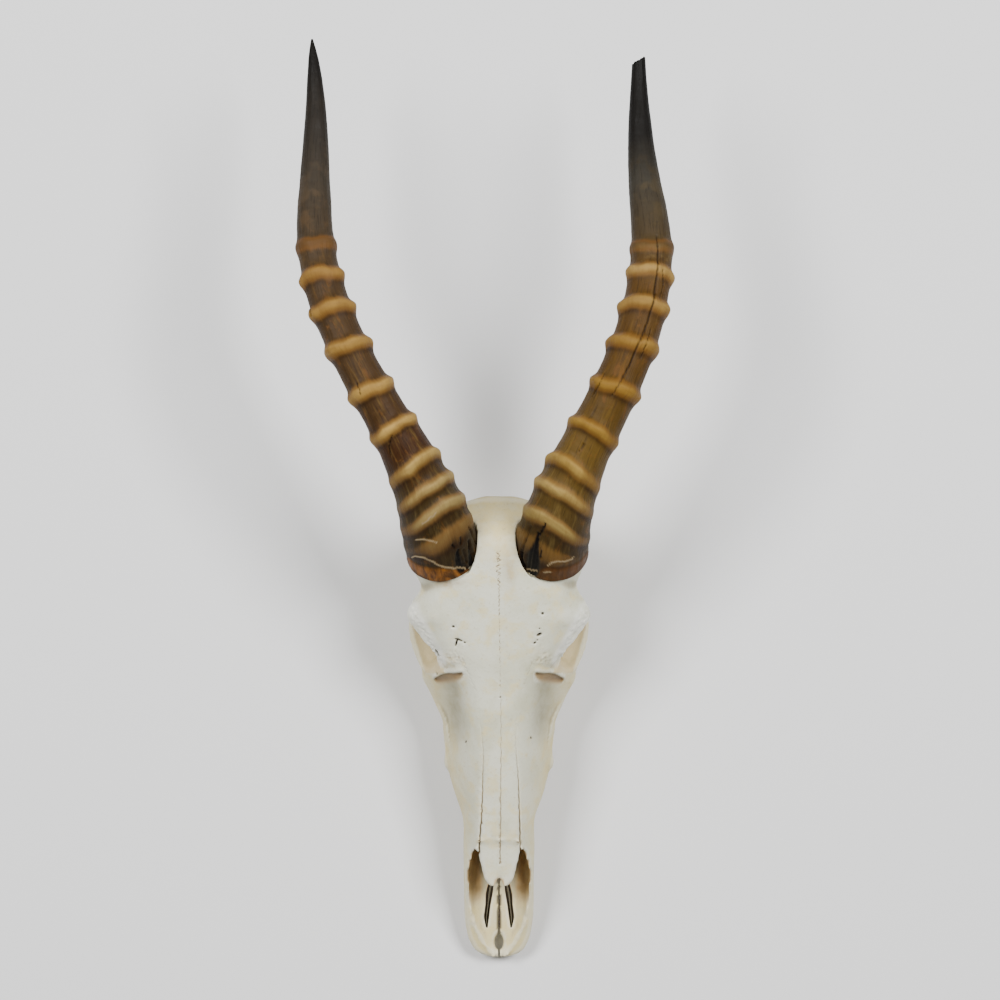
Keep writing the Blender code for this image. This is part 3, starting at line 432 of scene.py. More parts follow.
def add_rim(mesh, mirror=1, sides=14, per_span=5):
    """The raised edge round an eye socket, a bar that closes on itself."""
    points = np.array([(x * mirror, y, z) for x, y, z in EYE_RIM], float)
    wrapped = np.concatenate([points[-2:], points, points[:3]])
    path = through(np.arange(len(wrapped)), wrapped, np.arange(2, 2 + len(points), 1.0 / per_span))
    centre = Vector(points.mean(axis=0))
    loops = []
    for i in range(len(path)):
        here = Vector(path[i])
        tangent = (Vector(path[(i + 1) % len(path)]) - Vector(path[i - 1])).normalized()
        outward = (here - centre - (here - centre).dot(tangent) * tangent).normalized()
        across = tangent.cross(outward)
        corners = []
        for k in range(sides):
            turn = 2 * math.pi * k / sides
            offset = outward * EYE_RIM_HALF[0] * math.cos(turn) + across * EYE_RIM_HALF[1] * math.sin(turn)
            corners.append(mesh.verts.new((here + offset) * MM))
        loops.append([mesh.edges.new((corners[k - 1], corners[k])) for k in range(sides)])
    for i in range(len(loops)):
        bmesh.ops.bridge_loops(mesh, edges=loops[i - 1] + loops[i])


def add_lump(mesh, centre, half_sizes, mirror=1, detail=4):
    """A rounded lump."""
    place = Matrix.Translation(Vector((centre[0] * mirror, *centre[1:])) * MM)
    shape = Matrix.Diagonal([*(2 * h * MM for h in half_sizes), 1])
    bmesh.ops.create_icosphere(mesh, subdivisions=detail, radius=0.5, matrix=place @ shape)


def horn_seat(spine):
    """Where a horn starts, and the direction in which it leaves the bone."""
    start = Vector(spine[0])
    return start, (Vector(spine[1]) - start).normalized()


def add_disc(mesh, spine, start, end, radius, sides=48):
    """A plain disc on a horn's axis, from one distance along it to another."""
    seat, axis = horn_seat(spine)
    turn = axis.to_track_quat("Z", "Y").to_matrix().to_4x4()
    place = Matrix.Translation((seat + axis * (start + end) / 2) * MM) @ turn
    bmesh.ops.create_cone(
        mesh, cap_ends=True, segments=sides, radius1=radius * MM, radius2=radius * MM,
        depth=(end - start) * MM, matrix=place,
    )


def roof_height(y, x):
    """Height of the outer skin of the nasal bones."""
    return np.interp(y, ROOF_LINE[0], ROOF_LINE[1]) - ROOF_CURVE * np.abs(x) ** 3


def add_nasal_bone(mesh, mirror):
    """One nasal bone from its free tip back to where the roof is whole."""
    ys = [s[0] for s in NASAL_TIPS]
    places = between(ys, 4)
    rings = []
    for y, (inner, outer, thick) in zip(places, through(ys, [s[1:] for s in NASAL_TIPS], places)):
        xs = np.linspace(inner, outer, 8)
        top = [(mirror * x, y, roof_height(y, x)) for x in xs]
        under = [(mirror * x, y, roof_height(y, x) - thick) for x in xs[::-1]]
        rings.append(top + under)
    bridged(mesh, rings)


# Objects, modifiers and attributes

def helper(name, mesh):
    """An object from a bmesh, with its faces pointing out, placed from the datum."""
    bmesh.ops.recalc_face_normals(mesh, faces=mesh.faces)
    data = bpy.data.meshes.new(name)
    mesh.to_mesh(data)
    mesh.free()
    thing = bpy.data.objects.new(name, data)
    bpy.context.scene.collection.objects.link(thing)
    return thing


def with_modifiers(thing):
    """The mesh that an object's modifiers make of it."""
    graph = bpy.context.evaluated_depsgraph_get()
    return bpy.data.meshes.new_from_object(thing.evaluated_get(graph))


def discard(things):
    for thing in things:
        bpy.data.objects.remove(thing, do_unlink=True)


def numbers(data, name="co", width=3):
    values = np.empty(len(data) * width)
    data.foreach_get(name, values)
    return values.reshape(-1, width) if width > 1 else values


def set_points(mesh, points_mm):
    """Puts points given from the datum where the frame has them."""
    placed = (points_mm + np.array(DATUM)) * MM
    mesh.vertices.foreach_set("co", placed.astype(np.float32).ravel())
    mesh.update()


def set_mask(mesh, name, values):
    """One number for each vertex, which the finish reads by name."""
    layer = mesh.attributes.new(name, "FLOAT", "POINT")
    layer.data.foreach_set("value", np.asarray(values, np.float32))


def set_straight(mesh, points):
    """The place of each vertex on the horn as if it were pulled straight, in metres."""
    layer = mesh.attributes.new("straight", "FLOAT_VECTOR", "POINT")
    layer.data.foreach_set("vector", (np.asarray(points) * MM).astype(np.float32).ravel())


def piece(name, mesh, finish, nodes):
    """A finished piece that stands for solids of the frame."""
    mesh.name = name
    mesh.materials.clear()
    mesh.materials.append(finish)
    mesh.shade_smooth()
    thing = bpy.data.objects.new(name, mesh)
    bpy.context.scene.collection.objects.link(thing)
    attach(thing, "root")
    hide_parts(*nodes)
    return thing


def smooth_step(low, high, values):
    t = np.clip((values - low) / (high - low), 0, 1)
    return t * t * (3 - 2 * t)


def lattice_noise(points, scale, seed):
    """Soft noise from -1 to 1 at each point, with the scale in millimetres."""
    shift = Vector((seed * 17.3, seed * 5.1, seed * 9.7))
    return np.array([noise.noise(Vector(p) / scale + shift) for p in points])


def distance_from(points, line, with_share=False):
    """Distance in x and y of each point from a line, and how far along the line its nearest place is."""
    flat = points[:, :2]
    line = np.array(line, float)[:, :2]
    runs = np.append(0, np.cumsum(np.linalg.norm(np.diff(line, axis=0), axis=1)))
    best, share = np.full(len(points), 1e6), np.zeros(len(points))
    for a, b, start, end in zip(line, line[1:], runs, runs[1:]):
        along = np.clip(((flat - a) @ (b - a)) / max(((b - a) ** 2).sum(), 1e-9), 0, 1)
        away = np.linalg.norm(flat - a - along[:, None] * (b - a), axis=1)
        nearer = away < best
        best[nearer] = away[nearer]
        share[nearer] = ((start + (end - start) * along) / runs[-1])[nearer]
    return (best, share) if with_share else best


def wavy(line, reach, wave, seed, step=0.6):
    """The line with a sawn zigzag, whose reach to the side follows a function of how far along it is."""
    points = np.array(line, float)
    runs = np.append(0, np.cumsum(np.linalg.norm(np.diff(points, axis=0), axis=1)))
    places = np.arange(0, runs[-1], step)
    smooth = through(runs, points, places)
    heading = np.gradient(smooth, axis=0)
    heading /= np.linalg.norm(heading, axis=1)[:, None]
    side = np.stack([-heading[:, 1], heading[:, 0]], axis=1)
    made = []
    for k, s in enumerate(places):
        saw = 2 * abs(2 * ((s / wave) % 1) - 1) - 1
        rough = noise.noise(Vector((s / (wave * 0.45), seed * 7.7, 0.3)))
        made.append(smooth[k] + side[k] * reach(s / runs[-1]) * (0.7 * saw + 0.9 * rough))
    return made


def refine(mesh, wanted, times):
    """Splits the faces whose corners a test picks, to hold lines finer than the rest of the mesh."""
    for _ in range(times):
        work = bmesh.new()
        work.from_mesh(mesh)
        near = wanted(np.array([v.co for v in work.verts]) / MM)
        work.verts.ensure_lookup_table()
        edges = [e for e in work.edges if near[e.verts[0].index] and near[e.verts[1].index]]
        bmesh.ops.subdivide_edges(work, edges=edges, cuts=1, use_grid_fill=True)
        work.to_mesh(mesh)
        work.free()


def neighbour_mean(mesh, values, times=1):
    """Values averaged over each vertex's neighbours."""
    ends = numbers(mesh.edges, "vertices", 2).astype(int)
    count = np.bincount(ends.ravel(), minlength=len(mesh.vertices)).clip(1)
    shape = (len(values), -1)
    values = np.asarray(values, float).reshape(shape)
    for _ in range(times):
        total = np.zeros_like(values)
        np.add.at(total, ends[:, 0], values[ends[:, 1]])
        np.add.at(total, ends[:, 1], values[ends[:, 0]])
        values = total / count[:, None]
    return values if values.shape[1] > 1 else values[:, 0]


def hollowness(mesh, points, normals, spread):
    """How far each vertex lies under its surroundings, in millimetres: above nought in a dip."""
    return ((neighbour_mean(mesh, points, spread) - points) * normals).sum(axis=1)


# The bone

def bone_lumps():
    """All the lumps that the bone is fused from."""
    mesh = bmesh.new()
    add_sections(mesh, FACE_SECTIONS)
    add_sections(mesh, ROOF_SECTIONS)
    add_ovals(mesh, BRAIN_SECTIONS)
    add_tube(mesh, BASE_BAR)
    add_lump(mesh, *NAPE_RIDGE)
    bars = (
        CHEEK_BAR, EYE_FLOOR, CHEEK_CREST, POST_ORBITAL_BAR, NECK_PROCESS, WING_PLATE, EAR_TUBE, TEAR_LEDGE,
    )
    for mirror in (-1, 1):
        for bar in bars:
            add_tube(mesh, bar, mirror)
        for centre, half_sizes in LUMPS.values():
            add_lump(mesh, centre, half_sizes, mirror)
        add_rim(mesh, mirror)
        add_nasal_bone(mesh, mirror)
    set_true(mesh)
    for spine in (LEFT_SPINE, RIGHT_SPINE):
        seat, axis = horn_seat(spine)
        add_tube(mesh, [(tuple(seat - axis * below), half, half) for below, half in HORN_STALK])
    return mesh


def trough_space():
    """The open trough of the nose in front of the nasal tips, clear to above the nose."""
    mesh = bmesh.new()
    rings = []
    for y, half, floor in TROUGH:
        left = [(-half * share, y, floor + rise) for share, rise in TROUGH_SLOPE]
        right = [(half * share, y, floor + rise) for share, rise in TROUGH_SLOPE[-2::-1]]
        rings.append([(-half, y, TROUGH_TOP), *left, *right, (half, y, TROUGH_TOP)])
    bridged(mesh, rings)
    return set_true(mesh)


def slots():
    """The narrow openings through the floor of the nose: palate slots, middle gap and the slit at the tip."""
    mesh = bmesh.new()
    rows = np.array(PALATE_SLOT)
    smooth = through(np.arange(len(rows)), rows, between(np.arange(len(rows)), 4))
    for line, (low, high) in ((smooth, SLOT_SPAN), (MIDDLE_GAP, SLOT_SPAN), (NOSE_SLIT, SLIT_SPAN)):
        for mirror in (-1, 1) if line is smooth else (1,):
            rings = []
            for x, y, half in line:
                x, skin = mirror * x, np.interp(y, *PALATE_SKIN)
                waist = half * (SLOT_WAIST if line is smooth else 1)
                profile = [(waist, low), (waist, skin + 1), (half, skin + 3.6), (half, high)]
                rings.append([(x - w, y, z) for w, z in profile[::-1]] + [(x + w, y, z) for w, z in profile])
            bridged(mesh, rings)
    return set_true(mesh)


def hollows():
    """The hollows that lie apart: the nose tip's notch, the throat and the neck hole."""
    mesh = bmesh.new()
    add_lump(mesh, NOTCH_CENTRE, NOTCH_HALF)
    add_ovals(mesh, CHOANA, sides=24, squareness=3)
    add_tube(mesh, NECK_HOLE, sides=28)
    return set_true(mesh)


def fused_bone(voxel):
    """The bone in one skin, with its hollows, horn seats and tooth sockets cut."""
    bone = helper("bone_form", bone_lumps())
    helpers = [bone]

    def fuse():
        step = bone.modifiers.new("fuse", "REMESH")
        step.mode, step.voxel_size = "VOXEL", voxel

    def cut(thing, mesh, operation="DIFFERENCE"):
        other = helper("cut_form", mesh)
        helpers.append(other)
        step = thing.modifiers.new("cut", "BOOLEAN")
        step.operation, step.object = operation, other
        return other

    fuse()
    nose = bmesh.new()
    add_sections(nose, NASAL_CAVITY)
    cut(bone, set_true(nose))
    trough = cut(bone, trough_space())
    for mirror in (-1, 1):
        tip = bmesh.new()
        add_nasal_bone(tip, mirror)
        cut(trough, set_true(tip))
    cut(bone, hollows())
    fuse()
    soften = bone.modifiers.new("soften", "SMOOTH")
    soften.factor, soften.iterations = 0.5, 3
    cut(bone, slots())
    clear, posts = bmesh.new(), bmesh.new()
    for spine, girth in ((LEFT_SPINE, LEFT_GIRTH), (RIGHT_SPINE, RIGHT_GIRTH)):
        seat, axis = horn_seat(spine)
        widths = np.interp([p[1] for p in spine[:CLEAR_STATIONS]], *np.transpose(girth)) + HORN_CLEARANCE
        points = [tuple(seat - axis * FIT_GAP)] + spine[1:CLEAR_STATIONS]
        add_tube(clear, [(point, width, width) for point, width in zip(points, widths)], sides=32)
        add_disc(posts, spine, -POST_ROOT, SEAT_DEPTH - 0.4, SEAT_RADIUS - 0.3)
    cut(bone, clear)
    cut(bone, posts, "UNION")
    sockets = None
    for _, y, x, length, width in TEETH:
        pair = bmesh.new()
        for mirror in (-1, 1):
            bridged(pair, socket_rings(mirror * x, y, length, width))
        set_true(pair)
        if sockets is None:
            sockets = cut(bone, pair)
        else:
            cut(sockets, pair, "UNION")
    mesh = with_modifiers(bone)
    discard(helpers)
    keep_largest_body(mesh)
    return mesh


def keep_largest_body(mesh):
    """Clears away the loose slivers that cutting leaves, so that the mesh is one body."""
    work = bmesh.new()
    work.from_mesh(mesh)
    unseen, largest = set(work.verts), set()
    while unseen:
        queue = [unseen.pop()]
        body = set(queue)
        while queue:
            vert = queue.pop()
            for other in (edge.other_vert(vert) for edge in vert.link_edges):
                if other in unseen:
                    unseen.discard(other)
                    body.add(other)
                    queue.append(other)
        largest = max(largest, body, key=len)
    bmesh.ops.delete(work, geom=[vert for vert in work.verts if vert not in largest], context="VERTS")
    work.to_mesh(mesh)
    work.free()


def socket_rings(x, y, length, width, sides=16):
    """A tooth's socket, a little larger than the tooth."""
    rings = []
    levels = ((-4, 0.97), (1.2, 1.0), (TOOTH_FLOOR, 1.0), (TOOTH_ROOT_TOP + FIT_GAP, TOOTH_ROOT_SHARE))
    for z, share in levels:
        half_width, half_length = width / 2 * share + FIT_GAP, length / 2 * share + FIT_GAP
        ring = []
        for k in range(sides):
            turn = 2 * math.pi * (k + 0.5) / sides
            c, s = math.cos(turn), math.sin(turn)
            stretch = (abs(c) ** 4 + abs(s) ** 4) ** (-1 / 4)
            ring.append((x + half_width * c * stretch, y + half_length * s * stretch, z))
        rings.append(ring)
    return rings


def fine_lines():
    """The sutures on the roof: line, half width, depth and darkness at each end, then how broken it is."""
    def chain(share):
        return 1.5 * (1 - smooth_step(0.12, 0.34, share)) + 0.35

    def slight(share):
        return 0.22

    def ragged(share):
        return 0.5

    lines = [
        (wavy(MIDDLE_SUTURE, chain, 3.0, 1), 0.30, 0.22, 0.35, 0.2, 1.0, 0.6, 1.0),
        (wavy(MIDDLE_SUTURE, chain, 2.4, 4), 0.26, 0.1, 0.3, 0.05, 0.8, 0.05, 1.0),
        (wavy(NASAL_SUTURE, slight, 9, 2), 0.24, 0.34, 0.2, 0.7, 0.6, 1.0, 0.4),
    ]
    for number, line in enumerate((LEFT_NASAL_EDGE, RIGHT_NASAL_EDGE)):
        lines.append((wavy(line, slight, 7, 10 + number), 0.22, 0.58, -0.1, 1.9, -0.1, 1.2, 0.3))
    lines.append((wavy(RIGHT_NASAL_BRANCH, slight, 7, 12), 0.22, 0.22, 0.12, 0.12, 0.22, 0.22, 0.8))
    for number, line in enumerate((LEFT_TEAR_SUTURE, RIGHT_TEAR_SUTURE)):
        lines.append((wavy(line, ragged, 4, 20 + number), 0.32, 0.2, 0.45, 0.15, 0.42, 0.16, 0.8))
    return lines


def roof_only(seen):
    """The vertices of the roof's outer skin."""
    return seen[:, 2] > np.interp(seen[:, 1], [50, 76, 211, 245, 330], [50, 56, 80, 92, 92])


def near_detail(lines, seen):
    """The vertices close to a suture, a nerve hole or the edge over an eye socket."""
    chosen = np.zeros(len(seen), bool)
    top = np.flatnonzero(roof_only(seen) & (np.abs(seen[:, 0]) < 48))
    for line, *_ in lines:
        chosen[top] |= distance_from(seen[top], line[::2]) < 1.7
    for x, y, reach, *_ in NERVE_HOLES:
        chosen[top] |= np.hypot(seen[top, 0] - x, seen[top, 1] - y) < reach + 1.6
    return chosen


def near_tear_bone(seen):
    """The vertices of the spongy tear bones, the ledges in front of them and the edges over the eyes."""
    side, y = np.abs(seen[:, 0]), seen[:, 1]
    ledge = (np.abs(y - np.interp(side, *LEDGE_LINE)) < 2.4) & (np.abs(side - 34) < 11)
    spongy = blob(seen, 30, 203, 7.5, 5) > 0.4
    brow = [(x, y) for x, y, z in EYE_RIM if z > 78]
    rim = np.minimum(distance_from(seen, brow), distance_from(seen * [-1, 1, 1], brow)) < 2.2
    return (seen[:, 2] > 58) & (ledge | spongy | rim)


def blob(seen, x, y, x_reach, y_reach):
    """One at a place on both sides, fading out round it."""
    return np.exp(-(((np.abs(seen[:, 0]) - x) / x_reach) ** 2) - ((seen[:, 1] - y) / y_reach) ** 2)


def carve_bone(mesh, depth_share, width_share):
    """Sculpts sutures, nerve holes and the unevenness of weathered bone, and marks them for the finish, with
    masks of painted shade and painted highlight.
    """
    lines = fine_lines()
    refine(mesh, lambda true: near_tear_bone(as_seen(true)), 1)
    refine(mesh, lambda true: near_detail(lines, as_seen(true)), 2)
    points = numbers(mesh.vertices) / MM
    normals = numbers(mesh.vertices, "normal")
    normals /= np.linalg.norm(normals, axis=1)[:, None].clip(1e-9)
    seen = as_seen(points)
    side = np.abs(seen[:, 0])
    x, y, z = seen[:, 0], seen[:, 1], seen[:, 2]
    top = np.flatnonzero(roof_only(seen) & (side < 48))

    lift = 0.30 * lattice_noise(points, 17, 1) + 0.10 * lattice_noise(points, 5, 2)
    lift += 0.04 * lattice_noise(points, 1.9, 3)
    brow = [(px, py) for px, py, pz in EYE_RIM if pz > 78]
    rim = np.minimum(distance_from(seen, brow), distance_from(seen * [-1, 1, 1], brow))
    lift += 0.7 * lattice_noise(points, 2.2, 5) * np.exp(-((rim / 2.6) ** 2)) * (z > 80)
    spongy = blob(seen, 30, 203, 7.5, 5) * smooth_step(64, 74, z)
    lift += (0.8 * lattice_noise(points, 1.7, 6) + 0.5 * lattice_noise(points, 3.6, 9) - 0.15) * spongy
    lift -= 0.9 * blob(seen, 28, 211, 4.5, 7) + 0.5 * blob(seen, 24, 232, 7, 9)
    lift += 0.8 * blob(seen, 45, 233, 8, 9)
    ledge = np.interp(side, *LEDGE_LINE)
    across = (side - 34.2) / TEAR_PIT_HALF[0]
    tall = TEAR_PIT_HALF[1] * np.sqrt(np.clip(1 - across**2, 0.02, 1))
    scoop = smooth_step(-1, -0.12, (y - ledge) / tall) * (1 - smooth_step(-0.5, 0.8, y - ledge))
    scoop *= (1 - smooth_step(0.82, 1.05, np.abs(across))) * smooth_step(52, 60, z)
    pit = smooth_step(-1.05, -0.45, (y - ledge) / tall) * (1 - smooth_step(-0.5, 0.6, y - ledge))
    pit *= (1 - smooth_step(0.85, 1.08, np.abs(across))) * smooth_step(52, 60, z)
    ledge_ends = 1 - smooth_step(0.9, 1.2, np.abs(across))
    lift += 0.7 * np.exp(-(((y - ledge - 2) / 1.5) ** 2)) * ledge_ends * (z > 58)

    suture = np.zeros(len(points))
    for line, near_half, far_half, near_depth, far_depth, near_dark, far_dark, gaps in lines:
        away, share = distance_from(seen[top], line, True)
        depth = np.maximum(near_depth + (far_depth - near_depth) * share, 0.06)
        dark = np.clip(near_dark + (far_dark - near_dark) * share, 0.12, 1)
        half = (near_half + (far_half - near_half) * share) * width_share
        groove = np.exp(-((away / half) ** 2))
        broken = 0.55 + 0.9 * lattice_noise(points[top], 1.5, 7) + 0.4 * lattice_noise(points[top], 7, 8)
        groove *= np.clip(1 + gaps * (broken - 1), 0.12, 1)
        suture[top] = np.maximum(suture[top], groove * dark)
        lift[top] -= depth * depth_share * groove
        lift[top] += 0.05 * dark * np.exp(-(((away - 1.2) / 0.7) ** 2))
    hole = np.zeros(len(points))
    for hole_x, hole_y, long, short, turn, depth in NERVE_HOLES:
        dx, dy = seen[top, 0] - hole_x, seen[top, 1] - hole_y
        c, s = math.cos(math.radians(turn)), math.sin(math.radians(turn))
        away = np.hypot((dx * c + dy * s) / long, (dy * c - dx * s) / short)
        opening = 1 - smooth_step(0.75, 1.35, away)
        hole[top] = np.maximum(hole[top], opening)
        lift[top] -= depth * opening + 0.2 * np.exp(-((away - 1.2) ** 2) / 1.4)
    front_step = np.exp(-(((y - 79) / 3.5) ** 2)) * (side < 12.5)
    back_step = np.exp(-(((y - 296) / 7) ** 2)) * (side < 26)
    blend = (np.maximum(front_step, back_step) * roof_only(seen))[:, None]
    points = points * (1 - blend) + neighbour_mean(mesh, points, 14) * blend
    trough = np.exp(-(((side - np.interp(y, [135, 190], [27, 34])) / 7) ** 2))
    trough *= smooth_step(136, 162, y) * (1 - smooth_step(184, 192, y)) * (z > 52)
    lift -= 2.4 * trough
    points += normals * lift[:, None]
    points[:, 2] -= 4.6 * scoop
    set_points(mesh, points)

    inward = -normals[:, 0] * np.sign(x)
    # Masks of painted shade in the nose: the inner walls, brown partly of their own; faces turned down under
    # the nasal roof; the deep walls.
    inside_nose = smooth_step(0.10, 0.55, inward) * smooth_step(30, 50, y) * (y < 160) * (side < 25)
    shade_under_roof = smooth_step(0.2, 0.6, -normals[:, 2]) * (y > 50) * (y < 160) * (z > 45)
    deep_nose_shade = smooth_step(60, 84, y) * smooth_step(-0.35, -0.15, inward) * (side < 20) * (y < 160)
    deep_nose_shade *= (z < roof_height(y, side) - 5) * (z > 17)
    # Brown: the nose walls' own brown and painted shade, with painted shadow in each tear pit under its
    # ledge.
    brown = np.maximum.reduce([inside_nose * 0.9, shade_under_roof, pit])
    # Stain: brown stains on the forehead and the spongy tear bones, darker brown at the front of each horn's
    # base, and painted shade inside each eye socket along the brow edge.
    under_left = np.exp(-(((x + 33) / 10) ** 2) - ((y - 254.5) / 3) ** 2) * 0.8
    under_right = np.exp(-(((x - 36) / 9) ** 2) - ((y - 260) / 2.6) ** 2) * 0.6
    forehead = np.exp(-(((x - 7) / 5) ** 2) - ((y - 264) / 14) ** 2) * 0.4
    under_brow = distance_from(np.abs(seen), BROW_EDGE)
    stain = np.maximum.reduce([under_left, under_right, forehead, spongy * 0.3])
    edge = np.interp(y, [180, 188, 203, 219, 226, 233, 240], [47, 51.5, 55.5, 60, 61.5, 61, 60])
    # The inside of each eye socket: its yellower tint, partly its own colour and partly painted shade.
    socket = (y > 193) * (y < 240) * (side > 36) * smooth_step(0, 0.8, edge - 2.2 - side) * (z < 86)
    stain = np.maximum(stain, 1.0 * socket * np.exp(-((under_brow / 3.2) ** 2)))
    # Painted shade on the walls of the slots and the middle gap in the nose floor.
    slot = np.zeros(len(points))
    floor = np.interp(y, *np.transpose(TROUGH)[[0, 2]])
    inner = (y > 10) & (y < 62) & (z < floor + 0.5) & (z > np.interp(y, *PALATE_SKIN) + 0.3) & (side < 12)
    for line in (PALATE_SLOT, MIDDLE_GAP):
        middle, places, half = np.transpose(line)[:, ::-1]
        near = np.abs(side - np.abs(np.interp(y, places, middle))) < np.interp(y, places, half) + 0.25
        slot[inner & near] = 1
    behind = smooth_step(262, 296, y)
    front = 1 - smooth_step(28, 66, y)
    below = 1 - smooth_step(38, 78, z - 0.16 * (y - 120))
    cream = np.clip(np.maximum.reduce([behind, front * 0.9, below * 0.75]), 0, 1)
    # Painted highlight on the edges over the eyes.
    bright = smooth_step(0.4, 0.9, np.exp(-((rim / 6.5) ** 2))) * (z > 84)
    # How hollow each place is: small dips get painted shade and small bumps a paler tone; broad hollows feed
    # the painted shade mask.
    dips = hollowness(mesh, points, normals, 5)
    broad = hollowness(mesh, points, normals, 60)
    set_mask(mesh, "suture", suture)
    # Near-black painted shade in the nerve holes, the nose floor's slots and gap, deep in the nose and in the
    # tear pits.
    set_mask(mesh, "hole", np.maximum.reduce([hole, deep_nose_shade * 0.12, slot, pit * 0.62]))
    under_tips = smooth_step(38, 52, y) * (1 - smooth_step(70, 80, y)) * (side < 17) * (z < 34)
    shade = np.maximum.reduce([smooth_step(0.0, 1.2, broad) * 0.8, trough * 0.9, under_tips * 0.85])
    set_mask(mesh, "shade", shade)
    set_mask(mesh, "brown", brown)
    set_mask(mesh, "stain", stain)
    set_mask(mesh, "socket", socket)
    set_mask(mesh, "cream", cream)
    set_mask(mesh, "bright", bright)
    set_mask(mesh, "dip", np.clip(dips * 2.2, -1, 1))


# The horns

def ring_relief(rings, crests, rows, front, lateral, turn):
    """How far the rings stand out at each place of a horn, and how near it is to a ring's worn band."""
    height, band = np.zeros_like(rows), np.zeros_like(rows)
    for number, (crest, (_, tall, _, _)) in enumerate(zip(crests, rings)):
        low = min(1.0, max(0.0, (LOW_RINGS_END - crest) / LOW_RINGS_SPAN))
        away = rows - crest - 0.6 * np.sin(3 * turn + 2.1 * number) - 0.25 * np.sin(7 * turn + 4.3 * number)
        reach = np.where(away > 0, RING_RISE, RING_FALL)
        fade = 1 - low * OUTER_FADE * np.maximum(0, lateral) - BACK_FADE * np.maximum(0, -front)
        fade = fade * (1 + 0.12 * np.sin(5 * turn + 1.7 * number))
        height += tall * np.exp(-((away / reach) ** 2)) * fade
        worn = np.exp(-(((away + 0.6) / np.where(away > -0.6, 4.0, 5.4)) ** 2))
        band = np.maximum(band, worn * np.clip(fade, 0, 1) * min(1.0, tall / 2))
    return height, band


def horn_paths(spine, rows, leans, mirror):
    """How far along a horn each place is, its centre, and the outer, front and lengthwise directions."""
    points = np.array(spine, float)
    runs = np.append(0, np.cumsum(np.linalg.norm(np.diff(points, axis=0), axis=1)))
    place = np.clip(rows + leans, 0, runs[-1])
    centre = through(runs, points, place)
    before = through(runs, points, np.clip(place - 1, 0, runs[-1]))
    ahead = through(runs, points, np.clip(place + 1, 0, runs[-1])) - before
    ahead /= np.linalg.norm(ahead, axis=1)[:, None]
    outer = np.array([mirror, 0, 0]) - ahead * ahead[:, :1] * mirror
    outer /= np.linalg.norm(outer, axis=1)[:, None]
    return place, centre, outer, np.cross(outer, ahead) * mirror, ahead


